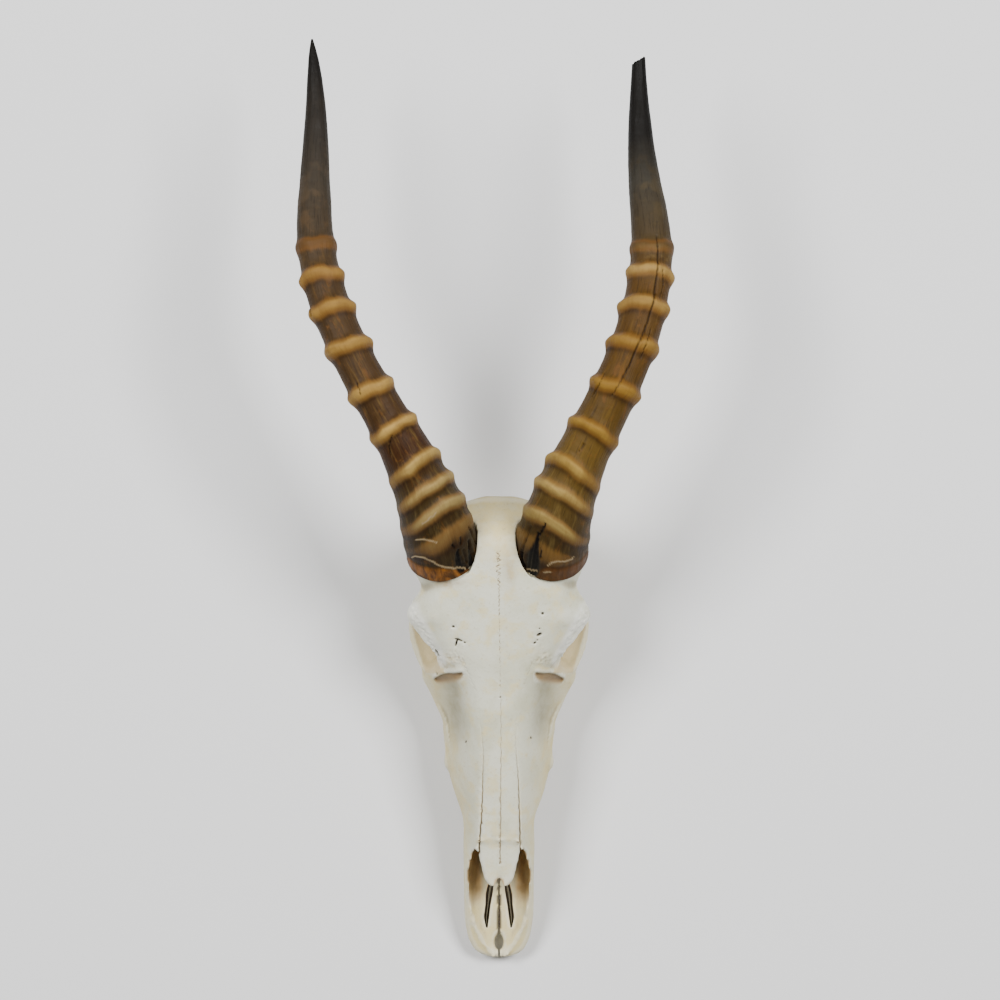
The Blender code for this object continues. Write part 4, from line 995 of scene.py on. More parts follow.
def horn_mesh(spine, girth, rings, mirror, broken, marks, around=150, step=0.85):
    """A horn's skin, drawn from a flat grid that is rolled up along the centre line."""
    points = np.array(spine, float)
    runs = np.append(0, np.cumsum(np.linalg.norm(np.diff(points, axis=0), axis=1)))
    crests = [float(np.interp(ring[0], points[:, 1], runs)) for ring in rings]
    last = runs[-1]
    fine = np.linspace(0, FINE_BASE, int(FINE_BASE / (step * 0.42)), endpoint=False)
    skin = np.append(fine, np.linspace(FINE_BASE, last, int((last - FINE_BASE) / step)))
    tip = [0.6, 0.25, 0.02] if broken else [0.5, 0.02]
    base = [(SEAT_DEPTH + FIT_GAP, 0.02), (SEAT_DEPTH + FIT_GAP, 23.0), (0.6, 23.0)]
    count = len(base) + len(skin) + len(tip)

    grid = bmesh.new()
    bmesh.ops.create_grid(grid, x_segments=around, y_segments=count - 1, size=0.5)
    flat = np.array([v.co for v in grid.verts])
    turn = (flat[:, 0] + 0.5) * 2 * math.pi
    row = np.rint((flat[:, 1] + 0.5) * (count - 1)).astype(int)
    rows = np.concatenate([[0.0] * len(base), skin, [last] * len(tip)])[row]
    lateral, front = np.cos(turn), np.sin(turn)
    knots = [0.0, *crests, last]
    leans = np.interp(rows, knots, [0, *(ring[2] for ring in rings), 0]) * front
    leans += np.interp(rows, knots, [0, *(ring[3] for ring in rings), 0]) * lateral
    place, centre, outer, up, ahead = horn_paths(spine, rows, leans, mirror)

    widths = np.interp(centre[:, 1], *np.transpose(girth))
    height, band = ring_relief(rings, crests, rows, front, lateral, turn)
    straight = np.stack([widths * lateral, widths * front, rows], axis=1)
    rough = 0.25 * lattice_noise(straight * [1, 1, 0.5], 9, 3 + mirror)
    rough += 0.08 * lattice_noise(straight * [1, 1, 0.12], 1.6, 5 + mirror)
    rough += 0.10 * lattice_noise(straight * [0.25, 0.25, 1], 2.2, 7 + mirror)
    rough *= np.clip(widths / 12, 0.15, 1)
    reach = widths + height + rough

    surface = centre + (outer * lateral[:, None] + up * front[:, None]) * reach[:, None]
    seen = as_seen(surface)
    facing = smooth_step(-0.2, 0.1, outer[:, 2] * lateral + up[:, 2] * front)
    dark, pale, crack = (facing * drawn(seen, marks[kind]) for kind in ("wedges", "pale_lines", "cracks"))
    splinter = 0.5 + 0.5 * np.sin(turn * 46 + 2 * np.sin(turn * 9))
    reach -= 1.3 * crack + (1.6 * dark - 0.9 * dark * splinter) - 0.25 * pale
    line = np.interp(seen[:, 0], *np.transpose(marks["lip_line"]))
    lip = smooth_step(-0.4, 1.0, line - seen[:, 1]) * facing * (1 - smooth_step(12, 16, place))
    lip = np.maximum(lip, (1 - smooth_step(3.5, 8.5, place + 1.2 * np.sin(3 * turn))) * (1 - facing))
    reach += 0.6 * lip * smooth_step(0, 2, place) - 1.0 * (1 - smooth_step(0, 1.6, place))

    for index, (s, radius) in enumerate(base):
        here = row == index
        reach[here] = radius
        centre[here] = np.array(horn_seat(spine)[0] + horn_seat(spine)[1] * s)
    for index, share in enumerate(tip):
        reach[row == len(base) + len(skin) + index] *= share
    shift = np.zeros_like(rows)
    edge = row == len(base)
    shift[edge] = 0.6 + 0.45 * np.sin(3 * turn[edge] + 1) + 0.3 * np.sin(8 * turn[edge])
    if broken:
        tail = np.clip((rows - (last - 9)) / 9, 0, 1)
        slope = lateral * mirror * BROKEN_TIP_SLOPE[0] + front * BROKEN_TIP_SLOPE[1]
        chips = 0.5 * lattice_noise(straight * [1, 1, 0.3], 1.7, 11)
        shift += tail * (slope + chips * 0.5) * np.minimum(reach, 4.5)
    co = centre + (outer * lateral[:, None] + up * front[:, None]) * reach[:, None] + ahead * shift[:, None]

    data = bpy.data.meshes.new("horn")
    grid.to_mesh(data)
    grid.free()
    set_points(data, co)
    set_straight(data, straight)
    set_mask(data, "along", place / last)
    set_mask(data, "crest", band * (1 - lip))
    # Painted shade just below each ring.
    set_mask(data, "ring_underside_shade", np.clip(neighbourhood(rows, crests, -6.4, 2.6), 0, 1))
    set_mask(data, "lip", lip)
    set_mask(data, "dark", dark)
    set_mask(data, "pale", pale)
    set_mask(data, "crack", crack)
    work = bmesh.new()
    work.from_mesh(data)
    bmesh.ops.remove_doubles(work, verts=work.verts, dist=2e-6)
    bmesh.ops.dissolve_degenerate(work, edges=work.edges, dist=1e-7)
    bmesh.ops.recalc_face_normals(work, faces=work.faces)
    work.to_mesh(data)
    work.free()
    return data, [float(np.interp(y, points[:, 1], runs)) / last for y in HORN_ZONES]


def neighbourhood(rows, crests, offset, reach):
    """One at a set distance from each crest, fading out within a reach."""
    return sum(np.exp(-(((rows - crest - offset) / reach) ** 2)) for crest in crests)


def drawn(seen, strokes):
    """How much of each place is covered by tapered strokes: points of x, y and half width as seen."""
    cover = np.zeros(len(seen))
    for stroke in strokes:
        away, share = distance_from(seen, stroke, True)
        runs = np.append(0, np.cumsum(np.linalg.norm(np.diff(np.array(stroke)[:, :2], axis=0), axis=1)))
        half = np.interp(share, runs / runs[-1], [p[2] for p in stroke])
        cover = np.maximum(cover, 1 - smooth_step(0.75, 1.25, away / half))
    return cover


# Where the horn's colour changes, by y: two at the base, five between the rings, four up to the tip.
HORN_ZONES = (276, 295, 320, 347, 366, 400, 461, 478, 520, 552, 600)
# Black gaps between splinters, pale chips, cracks and the upper edge of the rusty lip, as seen.
LEFT_MARKS = {
    "wedges": [
        [(-27.5, 277.1, 0.54), (-27.9, 272.7, 1.63), (-26.9, 268.6, 2.52), (-25.8, 264.2, 3.13)],
        [(-20.4, 282.9, 0.34), (-19.7, 276.8, 1.09), (-18.7, 270.0, 1.5), (-18.4, 264.5, 1.63)],
        [(-13.2, 282.9, 0.48), (-13.9, 277.4, 0.54), (-15.6, 272.0, 0.95)],
        [(-26.1, 285.6, 0.34), (-25.8, 281.2, 0.48)],
        [(-32.0, 280.5, 0.54), (-30.3, 278.5, 0.54)],
    ],
    "pale_lines": [
        [
            (-59.2, 271.7, 0.48), (-57.1, 272.7, 0.48), (-51.0, 271.7, 0.61), (-48.3, 270.3, 0.41),
            (-44.2, 268.6, 0.54), (-42.2, 266.9, 0.41), (-36.7, 265.2, 0.54), (-29.9, 264.4, 0.48),
            (-22.4, 264.0, 0.48),
        ],
        [(-56.4, 283.8, 0.41), (-51.0, 284.1, 0.48), (-45.6, 282.9, 0.41), (-42.2, 281.8, 0.34)],
        [
            (-52.4, 294.7, 0.48), (-49.0, 296.1, 0.41), (-47.3, 298.5, 0.48), (-44.9, 299.9, 0.41),
            (-42.4, 302.2, 0.41),
        ],
    ],
    "cracks": [
        [(-20.8, 293.1, 0.34), (-18.6, 288.7, 0.48), (-16.6, 282.9, 0.41), (-13.3, 278.1, 0.41)],
        [(-20.7, 283.6, 0.34), (-19.3, 278.1, 0.41), (-16.5, 272.7, 0.48)],
        [(-24.1, 277.4, 0.27), (-22.4, 270.0, 0.41), (-21.8, 263.8, 0.34)],
        [(-72.8, 354.3, 0.27), (-74.8, 347.5, 0.41), (-74.1, 341.4, 0.27)],
        [(-96.6, 390.3, 0.24), (-94.5, 382.8, 0.34)],
        [(-129.2, 442.7, 0.24), (-127.8, 435.9, 0.31)],
    ],
    "lip_line": [
        (-67.3, 272.7), (-59.2, 271.7), (-51.0, 271.0), (-44.2, 267.9), (-36.7, 264.5), (-22.4, 263.5),
        (-11.6, 265.9),
    ],
}
RIGHT_MARKS = {
    "wedges": [
        [
            (26.7, 288.7, 0.48), (25.6, 283.6, 1.29), (24.5, 278.8, 2.38), (22.8, 272.7, 4.35),
            (22.6, 267.2, 5.03), (23.1, 261.8, 4.08),
        ],
        [(31.6, 294.7, 0.48), (29.6, 290.4, 0.68), (26.8, 286.3, 0.61)],
        [(14.7, 274.7, 0.82), (15.4, 269.3, 1.09), (17.3, 264.5, 0.82)],
        [(28.6, 278.1, 0.34), (28.2, 272.0, 0.82)],
    ],
    "pale_lines": [
        [
            (33.3, 266.2, 0.48), (36.0, 268.2, 0.54), (40.1, 269.1, 0.48), (44.9, 269.0, 0.48),
            (49.6, 270.6, 0.41), (50.6, 272.3, 0.34),
        ],
        [(19.0, 263.4, 0.41), (22.4, 262.3, 0.48), (25.8, 262.1, 0.41)],
        [(30.2, 262.1, 0.41), (35.4, 262.5, 0.48)],
    ],
    "cracks": [
        [
            (107.4, 491.0, 0.27), (108.4, 479.4, 0.48), (108.1, 467.2, 0.61), (106.4, 454.9, 0.61),
            (105.4, 445.4, 0.54), (101.3, 431.8, 0.48), (97.9, 423.0, 0.68), (93.2, 412.8, 0.61),
            (89.1, 402.6, 0.61), (83.0, 391.7, 0.48), (76.8, 381.5, 0.27),
        ],
        [(111.5, 468.5, 0.2), (111.9, 457.6, 0.34), (110.2, 449.5, 0.2)],
        [(103.4, 426.4, 0.2), (100.6, 417.5, 0.34), (96.6, 407.3, 0.2)],
        [(21.5, 293.1, 0.34), (19.7, 287.6, 0.54), (17.4, 281.5, 0.54), (14.6, 274.7, 0.61)],
        [(18.0, 283.6, 0.27), (16.0, 276.1, 0.48), (15.2, 270.0, 0.41)],
        [(71.4, 396.4, 0.2), (67.3, 388.3, 0.34), (63.2, 380.8, 0.2)],
        [(58.5, 350.2, 0.2), (54.4, 343.4, 0.34)],
    ],
    "lip_line": [
        (8.8, 261.8), (25.8, 261.8), (32.0, 265.2), (36.0, 267.6), (40.1, 268.5), (44.9, 268.5),
        (49.6, 270.0), (61.9, 277.4),
    ],
}


# The teeth

def tooth_mesh(side, y, x, length, width, relief, around=64):
    """A cheek tooth: folded walls with ribs on the outer side, and worn crescents on the grinding face."""
    molar = width > 12
    levels = [(0.0, s) for s in np.linspace(0.03, 0.94, 15)] + [(0.12, 0.975), (0.5, 0.985), (1.6, 0.99)]
    levels += [(z, 0.985) for z in np.linspace(4, TOOTH_FLOOR - 1, 9)]
    levels += [(TOOTH_FLOOR + 1, 0.93), (TOOTH_ROOT_TOP - 1, TOOTH_ROOT_SHARE)]
    levels += [(TOOTH_ROOT_TOP, TOOTH_ROOT_SHARE * 0.9), (TOOTH_ROOT_TOP, 0.02)]
    grid = bmesh.new()
    bmesh.ops.create_grid(grid, x_segments=around, y_segments=len(levels) - 1, size=0.5)
    flat = np.array([v.co for v in grid.verts])
    turn = (flat[:, 0] + 0.5) * 2 * math.pi
    row = np.rint((flat[:, 1] + 0.5) * (len(levels) - 1)).astype(int)
    height = np.array([z for z, _ in levels])[row]
    share = np.array([s for _, s in levels])[row]
    c, s = np.cos(turn), np.sin(turn)
    outline = (np.abs(c) ** 3.2 + np.abs(s) ** 3.2) ** (-1 / 3.2)
    outer = smooth_step(0.0, 0.7, c)
    lobes = 2 if molar else 1
    fold = outer * (0.055 * np.cos(s * lobes * 2 * math.pi + (0 if molar else math.pi)) - 0.05)
    fold -= smooth_step(0.0, 0.7, -c) * (0.10 * np.exp(-((s / 0.2) ** 2)) if molar else 0)
    outline = outline * (1 + fold * smooth_step(0.3, 0.95, share)) * (0.965 if molar else 0.95)
    u = outline * share * c
    v = outline * share * s
    dip = np.zeros_like(u)
    for centre in ((-0.46, 0.46) if molar else (0.0,)):
        reach = 0.30 if molar else 0.5
        away = np.hypot((u + 0.05) / 0.62, (v - centre) / reach)
        dip += np.exp(-(((away - 0.62) / 0.17) ** 2)) * relief * (u > -0.5)
        dip += 0.3 * relief * np.exp(-(((away - 1.15) / 0.12) ** 2))
    on_face = row < 15
    z = height + np.where(on_face, dip + 0.25 * relief * (1 - share), 0)
    co = np.stack([side * x + side * u * width / 2, y + v * length / 2, z], axis=1)
    grain = lattice_noise(co * [1, 1, 0.3], 2.2, 3 + side) * 0.12 * (~on_face) * (share > 0.5)
    co[:, 0] += grain * c * side
    co[:, 1] += grain * s
    data = bpy.data.meshes.new("tooth")
    grid.to_mesh(data)
    grid.free()
    share_seen = shrinkage(co[:, 2])
    co[:, 0] *= share_seen
    co[:, 1] = SIGHT_CENTRE[1] + (co[:, 1] - SIGHT_CENTRE[1]) * share_seen
    set_points(data, co)
    set_mask(data, "groove", np.clip(dip / max(relief, 1e-6), 0, 1) * on_face)
    set_mask(data, "root", smooth_step(6, 22, height))
    work = bmesh.new()
    work.from_mesh(data)
    bmesh.ops.remove_doubles(work, verts=work.verts, dist=2e-6)
    bmesh.ops.recalc_face_normals(work, faces=work.faces)
    work.to_mesh(data)
    work.free()
    return data


# Finishes

class Finish:
    """One material, with short names for the nodes that it is put together from."""

    def __init__(self, name):
        self.material = bpy.data.materials.new(name)
        self.material.use_nodes = True
        self.tree = self.material.node_tree
        self.surface = self.tree.nodes["Principled BSDF"]

    def put(self, socket, value):
        if isinstance(value, bpy.types.NodeSocket):
            self.tree.links.new(value, socket)
        elif isinstance(value, (tuple, list)) or hasattr(value, "__len__"):
            values = tuple(value)
            socket.default_value = values + (1.0,) if socket.type == "RGBA" and len(values) == 3 else values
        else:
            socket.default_value = value

    def add(self, kind, inputs=(), **settings):
        node = self.tree.nodes.new(kind)
        for name, value in settings.items():
            setattr(node, name, value)
        for name, value in dict(inputs).items():
            self.put(node.inputs[name], value)
        return node

    def place(self):
        return self.add("ShaderNodeTexCoord").outputs["Object"]

    def mask(self, name):
        return self.add("ShaderNodeAttribute", attribute_name=name).outputs["Fac"]

    def vector(self, name):
        return self.add("ShaderNodeAttribute", attribute_name=name).outputs["Vector"]

    def stretched(self, vector, scale):
        return self.add("ShaderNodeMapping", {"Vector": vector, "Scale": scale}).outputs["Vector"]

    def noise(self, vector, scale, detail=5.0, rough=0.55, bend=0.0):
        values = {"Vector": vector, "Scale": scale, "Detail": detail, "Roughness": rough, "Distortion": bend}
        return self.add("ShaderNodeTexNoise", values).outputs["Fac"]

    def cells(self, vector, scale, feature="F1"):
        values = {"Vector": vector, "Scale": scale}
        return self.add("ShaderNodeTexVoronoi", values, feature=feature).outputs["Distance"]

    def span(self, value, low, high, to_low=0.0, to_high=1.0):
        values = {"Value": value, "From Min": low, "From Max": high, "To Min": to_low, "To Max": to_high}
        return self.add("ShaderNodeMapRange", values, interpolation_type="SMOOTHSTEP").outputs["Result"]

    def maths(self, operation, *values):
        node = self.add("ShaderNodeMath", operation=operation)
        for socket, value in zip(node.inputs, values):
            self.put(socket, value)
        return node.outputs["Value"]

    def times(self, *values):
        result = values[0]
        for value in values[1:]:
            result = self.maths("MULTIPLY", result, value)
        return result

    def plus(self, *values):
        result = values[0]
        for value in values[1:]:
            result = self.maths("ADD", result, value)
        return result

    def mix(self, share, first, second, blend="MIX"):
        node = self.add("ShaderNodeMix", data_type="RGBA", blend_type=blend)
        for socket, value in ((node.inputs[0], share), (node.inputs[6], first), (node.inputs[7], second)):
            self.put(socket, value)
        return node.outputs[2]

    def ramp(self, value, stops):
        node = self.add("ShaderNodeValToRGB", {"Fac": value})
        ramp = node.color_ramp
        for index, (place, colour) in enumerate(stops):
            stop = ramp.elements[index] if index < 2 else ramp.elements.new(place)
            stop.position = place
            stop.color = (*colour, 1.0)
        return node.outputs["Color"]

    def bump(self, height, distance, strength=1.0, under=None):
        values = {"Height": height, "Distance": distance, "Strength": strength}
        if under is not None:
            values["Normal"] = under
        return self.add("ShaderNodeBump", values).outputs["Normal"]

    def finish(self, colour, roughness, normal, **inputs):
        values = {"Base Color": colour, "Roughness": roughness, "Normal": normal}
        values.update({name.replace("_", " "): value for name, value in inputs.items()})
        for name, value in values.items():
            self.put(self.surface.inputs[name], value)
        return self.material


# From a suture's soft edge to its middle.
SUTURE_COLOURS = [(0.0, (0.46, 0.39, 0.26)), (0.5, (0.24, 0.175, 0.09)), (0.9, (0.025, 0.017, 0.009))]


def bone_finish(settings):
    """Dry, slightly yellowed bone with brown stains, painted shade in its dips, hollows, holes and eye
    sockets, and painted highlight on the edges over the eyes.
    """
    f = Finish("weathered_bone")
    here = f.place()
    broad = f.noise(here, 22, 4, 0.6, 0.4)
    middle = f.noise(here, 95, 5, 0.6, 0.3)
    fine = f.noise(here, 520, 5, 0.6)
    grain = f.noise(f.stretched(here, (1, 0.35, 1)), 1500, 3, 0.6)
    colour = f.mix(f.span(broad, 0.38, 0.66), settings.pale, settings.grey)
    colour = f.mix(f.times(f.span(middle, 0.48, 0.68), 0.6), colour, settings.cream)
    colour = f.mix(f.times(f.mask("cream"), f.span(middle, 0.25, 0.6, 0.6, 1.0)), colour, settings.cream)
    colour = f.mix(f.times(f.span(fine, 0.54, 0.72), 0.32), colour, settings.stain)
    # Painted shade in small dips, and a paler tone on small bumps.
    dip = f.mask("dip")
    colour = f.mix(f.times(f.span(dip, 0.12, 0.75), 0.55), colour, settings.stain)
    colour = f.mix(f.times(f.span(dip, -0.12, -0.7), 0.35), colour, (0.80, 0.79, 0.69))
    shade = f.times(f.mask("shade"), f.span(middle, 0.3, 0.65, 0.75, 1.0))
    colour = f.mix(shade, colour, (0.29, 0.265, 0.17))
    # Brown stains, and painted shade inside each eye socket along the brow edge.
    stain = f.times(f.mask("stain"), f.span(middle, 0.34, 0.62, 0.35, 1.0))
    colour = f.mix(stain, colour, (0.28, 0.165, 0.065))
    # The nose walls' brown, partly their own colour and partly painted shade, with painted shadow in the tear
    # pits.
    walls = f.mix(f.span(middle, 0.35, 0.65), settings.brown, (0.66, 0.47, 0.23))
    colour = f.mix(f.times(f.mask("brown"), f.span(middle, 0.2, 0.5, 0.75, 1.0)), colour, walls)
    # Eye sockets: a tint that is partly their own colour and partly painted shade.
    colour = f.mix(f.times(f.mask("socket"), f.span(middle, 0.2, 0.6, 0.75, 1.0)), colour, settings.orbit)
    # Painted highlight on the edges over the eyes.
    colour = f.mix(f.times(f.mask("bright"), f.span(middle, 0.3, 0.6, 0.25, 0.8)), colour, settings.worn)
    line = f.mask("suture")
    line_colour = f.ramp(line, SUTURE_COLOURS)
    colour = f.mix(f.span(line, 0.04, 0.5, 0.0, 0.92), colour, line_colour)
    # Near-black painted shade in the nerve holes, the nose floor's slots and gap, deep in the nose and in the
    # tear pits.
    colour = f.mix(f.mask("hole"), colour, (0.035, 0.022, 0.012))
    pores = f.cells(here, 820)
    spots = f.span(pores, 0.16, 0.05)
    spots = f.times(spots, f.span(f.noise(here, 60, 3), 0.5, 0.62))
    colour = f.mix(f.times(spots, 0.45), colour, settings.stain)
    height = f.plus(f.times(middle, 0.5), f.times(fine, 0.3), f.times(grain, 0.12), f.times(spots, -0.35))
    normal = f.bump(height, 0.0007, 0.8)
    roughness = f.span(middle, 0.3, 0.7, 0.5, 0.68)
    return f.finish(colour, roughness, normal, Specular_IOR_Level=0.42, Subsurface_Weight=0.0)


def horn_finish(name, zones, valley, crest, glow, settings):
    """Horn with fibres along it, pale worn ring crests and darker hollows between, painted shade below each
    ring, and the painted sheen that the zone colours carry near the tip.
    """
    f = Finish(name)
    straight = f.vector("straight")
    along = f.mask("along")
    fibres = f.noise(f.stretched(straight, (1, 1, 0.05)), 1000, 5, 0.65, 0.2)
    streaks = f.noise(f.stretched(straight, (1, 1, 0.10)), 300, 4, 0.6, 0.5)
    bands = f.noise(f.stretched(straight, (0.35, 0.35, 1)), 260, 4, 0.6, 0.3)
    cloud = f.noise(straight, 75, 4, 0.6)
    blots = f.noise(f.stretched(straight, (1, 1, 0.5)), 170, 4, 0.65, 0.6)
    shifted = f.plus(along, f.times(f.plus(cloud, -0.5), 0.04))
    ground = f.ramp(shifted, list(zip(zones, valley)))
    worn = f.ramp(shifted, list(zip(zones, crest)))
    ground = f.mix(f.times(f.span(streaks, 0.48, 0.72), 0.45), ground, f.mix(0.35, ground, worn))
    dark_fibre = f.mix(0.7, ground, (0.006, 0.004, 0.003))
    ground = f.mix(f.times(f.span(fibres, 0.5, 0.32), 0.65), ground, dark_fibre)
    mottle = f.times(f.span(cloud, 0.48, 0.66), f.span(along, 0.56, 0.66), 0.6)
    ground = f.mix(mottle, ground, worn)
    rust_share = f.times(f.span(blots, 0.54, 0.70), f.span(along, 0.66, 0.5), 0.45)
    ground = f.mix(rust_share, ground, settings.rust)
    # Painted shade just below each ring, fading out between half and two thirds of the way up.
    under = f.times(f.mask("ring_underside_shade"), f.span(along, 0.66, 0.5), f.span(fibres, 0.3, 0.6, 0.35, 0.9))
    ground = f.mix(under, ground, settings.shade)
    band = f.plus(f.mask("crest"), f.times(f.plus(blots, -0.5), 0.30), f.times(f.plus(fibres, -0.5), 0.16))
    flank = f.mix(0.45, settings.rust, f.mix(0.45, ground, worn))
    colour = f.mix(f.span(band, 0.10, 0.50, 0.0, 0.95), ground, flank)
    flecks = f.times(f.span(bands, 0.30, 0.62, 0.7, 1.0), f.span(streaks, 0.30, 0.55, 0.75, 1.0))
    rub = f.times(f.span(band, 0.42, 0.98), flecks)
    colour = f.mix(rub, colour, worn)
    rusty = f.mix(f.span(blots, 0.38, 0.66, 0.0, glow), settings.lip, settings.lip_bright)
    colour = f.mix(f.times(f.mask("lip"), f.span(cloud, 0.3, 0.6, 0.75, 1.0)), colour, rusty)
    splinters = f.mix(f.span(fibres, 0.58, 0.74), (0.003, 0.002, 0.002), (0.030, 0.020, 0.010))
    colour = f.mix(f.mask("dark"), colour, splinters)
    colour = f.mix(f.times(f.mask("crack"), 0.62), colour, (0.012, 0.006, 0.003))
    colour = f.mix(f.times(f.mask("pale"), f.span(bands, 0.3, 0.5, 0.8, 1.0)), colour, (0.27, 0.20, 0.11))
    height = f.plus(f.times(fibres, 0.6), f.times(streaks, 0.5), f.times(bands, 0.35))
    normal = f.bump(height, 0.0006, 0.8)
    roughness = f.plus(f.span(streaks, 0.3, 0.7, 0.46, 0.60), f.times(rub, 0.08))
    return f.finish(colour, roughness, normal, Specular_IOR_Level=0.10)


def tooth_finish(settings):
    """Enamel stained brown, paler towards the root."""
    f = Finish("stained_tooth")
    here = f.place()
    drawn = f.noise(f.stretched(here, (1, 1, 0.2)), 420, 5, 0.6, 0.3)
    blots = f.noise(here, 160, 4)
    colour = f.mix(f.span(drawn, 0.35, 0.65), settings.enamel, settings.stain)
    colour = f.mix(f.times(f.mask("root"), 0.6), colour, (0.62, 0.56, 0.42))
    colour = f.mix(f.times(f.span(blots, 0.52, 0.66), 0.6), colour, (0.12, 0.075, 0.035))
    colour = f.mix(f.mask("groove"), colour, (0.05, 0.03, 0.015))
    normal = f.bump(f.plus(drawn, f.times(blots, 0.4)), 0.0004, 0.7)
    return f.finish(colour, f.span(blots, 0.3, 0.7, 0.28, 0.45), normal, Specular_IOR_Level=0.5)


def floor_finish(settings):
    f = Finish("pale_floor")
    here = f.place()
    cloud = f.noise(here, 3.0, 3)
    colour = f.mix(cloud, settings.floor, tuple(c * 0.97 for c in settings.floor))
    normal = f.bump(f.noise(here, 260, 3), 0.0001, 0.3)
    return f.finish(colour, 0.8, normal, Specular_IOR_Level=0.2)


# Colours of the two horns at each zone: between the rings, then on the worn crests.
# The greyer colours at y 520 on both horns, and at y 552 on the left, are painted sheen on the dark horn.
LEFT_GROUND = [
    (0.016, 0.009, 0.003), (0.024, 0.014, 0.004), (0.036, 0.022, 0.007), (0.034, 0.013, 0.004),
    (0.040, 0.019, 0.006), (0.044, 0.023, 0.008), (0.044, 0.025, 0.010), (0.040, 0.026, 0.013),
    (0.030, 0.023, 0.015), (0.018, 0.014, 0.010), (0.004, 0.003, 0.002),
]
LEFT_CREST = [
    (0.14, 0.10, 0.04), (0.20, 0.145, 0.055), (0.28, 0.20, 0.07), (0.36, 0.235, 0.062), (0.34, 0.21, 0.055),
    (0.27, 0.16, 0.038), (0.22, 0.12, 0.028), (0.08, 0.042, 0.014), (0.055, 0.038, 0.022),
    (0.03, 0.022, 0.014), (0.005, 0.004, 0.003),
]
RIGHT_GROUND = [
    (0.028, 0.015, 0.004), (0.030, 0.017, 0.005), (0.072, 0.043, 0.010), (0.088, 0.050, 0.010),
    (0.066, 0.036, 0.007), (0.060, 0.029, 0.005), (0.062, 0.030, 0.006), (0.046, 0.029, 0.011),
    (0.028, 0.024, 0.017), (0.005, 0.004, 0.003), (0.002, 0.0015, 0.001),
]
RIGHT_CREST = [
    (0.15, 0.10, 0.03), (0.21, 0.15, 0.045), (0.32, 0.22, 0.065), (0.25, 0.15, 0.028), (0.22, 0.125, 0.021),
    (0.19, 0.10, 0.015), (0.28, 0.175, 0.05), (0.055, 0.036, 0.013), (0.05, 0.036, 0.018),
    (0.006, 0.005, 0.004), (0.003, 0.002, 0.0015),
]


# Settings

def tint(name, description, colour):
    return FloatVectorProperty(name=name, description=description, default=colour, size=3, subtype="COLOR")


def length(name, description, metres, least=0.0):
    return FloatProperty(
        name=name, description=description, default=metres, min=least, unit="LENGTH", precision=5,
    )


def share(name, description, value, least=0.0):
    return FloatProperty(name=name, description=description, default=value, min=least)


class BoneSettings(bpy.types.PropertyGroup):
    voxel: length("Grain of the form", "Size of the cells the bone is fused with", 0.0016, 0.001)
    suture_depth: share("Suture depth", "Share of the drawn depth of the sutures", 1.0)
    suture_width: share("Suture width", "Share of the drawn width of the sutures", 1.0, 0.1)
    pale: tint("Pale bone", "Colour of the clean bone", (0.66, 0.655, 0.52))
    grey: tint("Grey bone", "Colour of the duller patches", (0.54, 0.53, 0.375))
    cream: tint("Cream bone", "Colour of the yellower bone", (0.67, 0.56, 0.27))
    # The stain colour is grime in the pores and blotches, and painted shade in the small dips.
    stain: tint("Stain", "Colour of grime in pores and dips", (0.36, 0.28, 0.165))
    # Partly painted shade: the sockets' tint also stands for the shade inside them.
    orbit: tint("Eye sockets", "Colour inside the eye sockets", (0.60, 0.49, 0.27))
    # Painted highlight: the light falling on the edges over the eyes.
    worn: tint("Highlit edges", "Colour of the bright edges over the eyes", (0.84, 0.84, 0.77))
    # Nose walls: their brown also stands for painted shade in the nose and painted shadow in the tear pits.
    brown: tint("Nose walls", "Colour of the walls of the nose", (0.60, 0.37, 0.14))


class HornSettings(bpy.types.PropertyGroup):
    around: IntProperty(name="Faces around", description="Faces round each horn", default=150, min=24)
    step: length("Step along", "Spacing of the horn's rows of faces", 0.00085, 0.0004)
    lip: tint("Base lip", "Colour of the horn's edge at the bone", (0.062, 0.024, 0.005))
    lip_bright: tint("Bright lip", "Colour of the lip's rusty patches", (0.24, 0.088, 0.012))
    rust: tint("Rust", "Colour of the ring edges", (0.125, 0.050, 0.009))
    shade: tint("Ring shade", "Colour below each ring", (0.018, 0.007, 0.002))


class ToothSettings(bpy.types.PropertyGroup):
    relief: length("Wear relief", "Depth of the hollows in the grinding faces", 0.0012)
    enamel: tint("Enamel", "Colour of the cleaner enamel", (0.55, 0.48, 0.34))
    stain: tint("Tooth stain", "Colour of the stain on the enamel", (0.30, 0.20, 0.10))


class StageSettings(bpy.types.PropertyGroup):
    floor_size: length("Floor size", "Side of the square floor", 6.0, 1.0)
    floor: tint("Floor", "Colour of the floor", (0.80, 0.80, 0.80))
    side_power: FloatProperty(
        name="Side lights", description="Power of each light at the side", default=90.0, min=0.0,
        unit="POWER",
    )
    room: share("Room light", "Strength of the even light from all round", 0.12)
    camera_height: length("Camera height", "Height of the camera over the floor", 3.0, 0.5)
    view_width: length("View width", "Width that the picture covers at the skull's forehead", 0.68, 0.1)


# Operators

class BuildBone(bpy.types.Operator):
    """Build the skull's bone in one skin"""
    bl_idname = "skull.build_bone"
    bl_label = "Bone"

    def execute(self, context):
        settings = context.scene.skull_bone
        mesh = fused_bone(settings.voxel)
        if len(mesh.polygons) < FEWEST_BONE_FACES:
            raise RuntimeError("The bone came out empty or broken")
        carve_bone(mesh, settings.suture_depth, settings.suture_width)
        piece("skull_bone", mesh, bone_finish(settings), ["skull"])
        return {"FINISHED"}


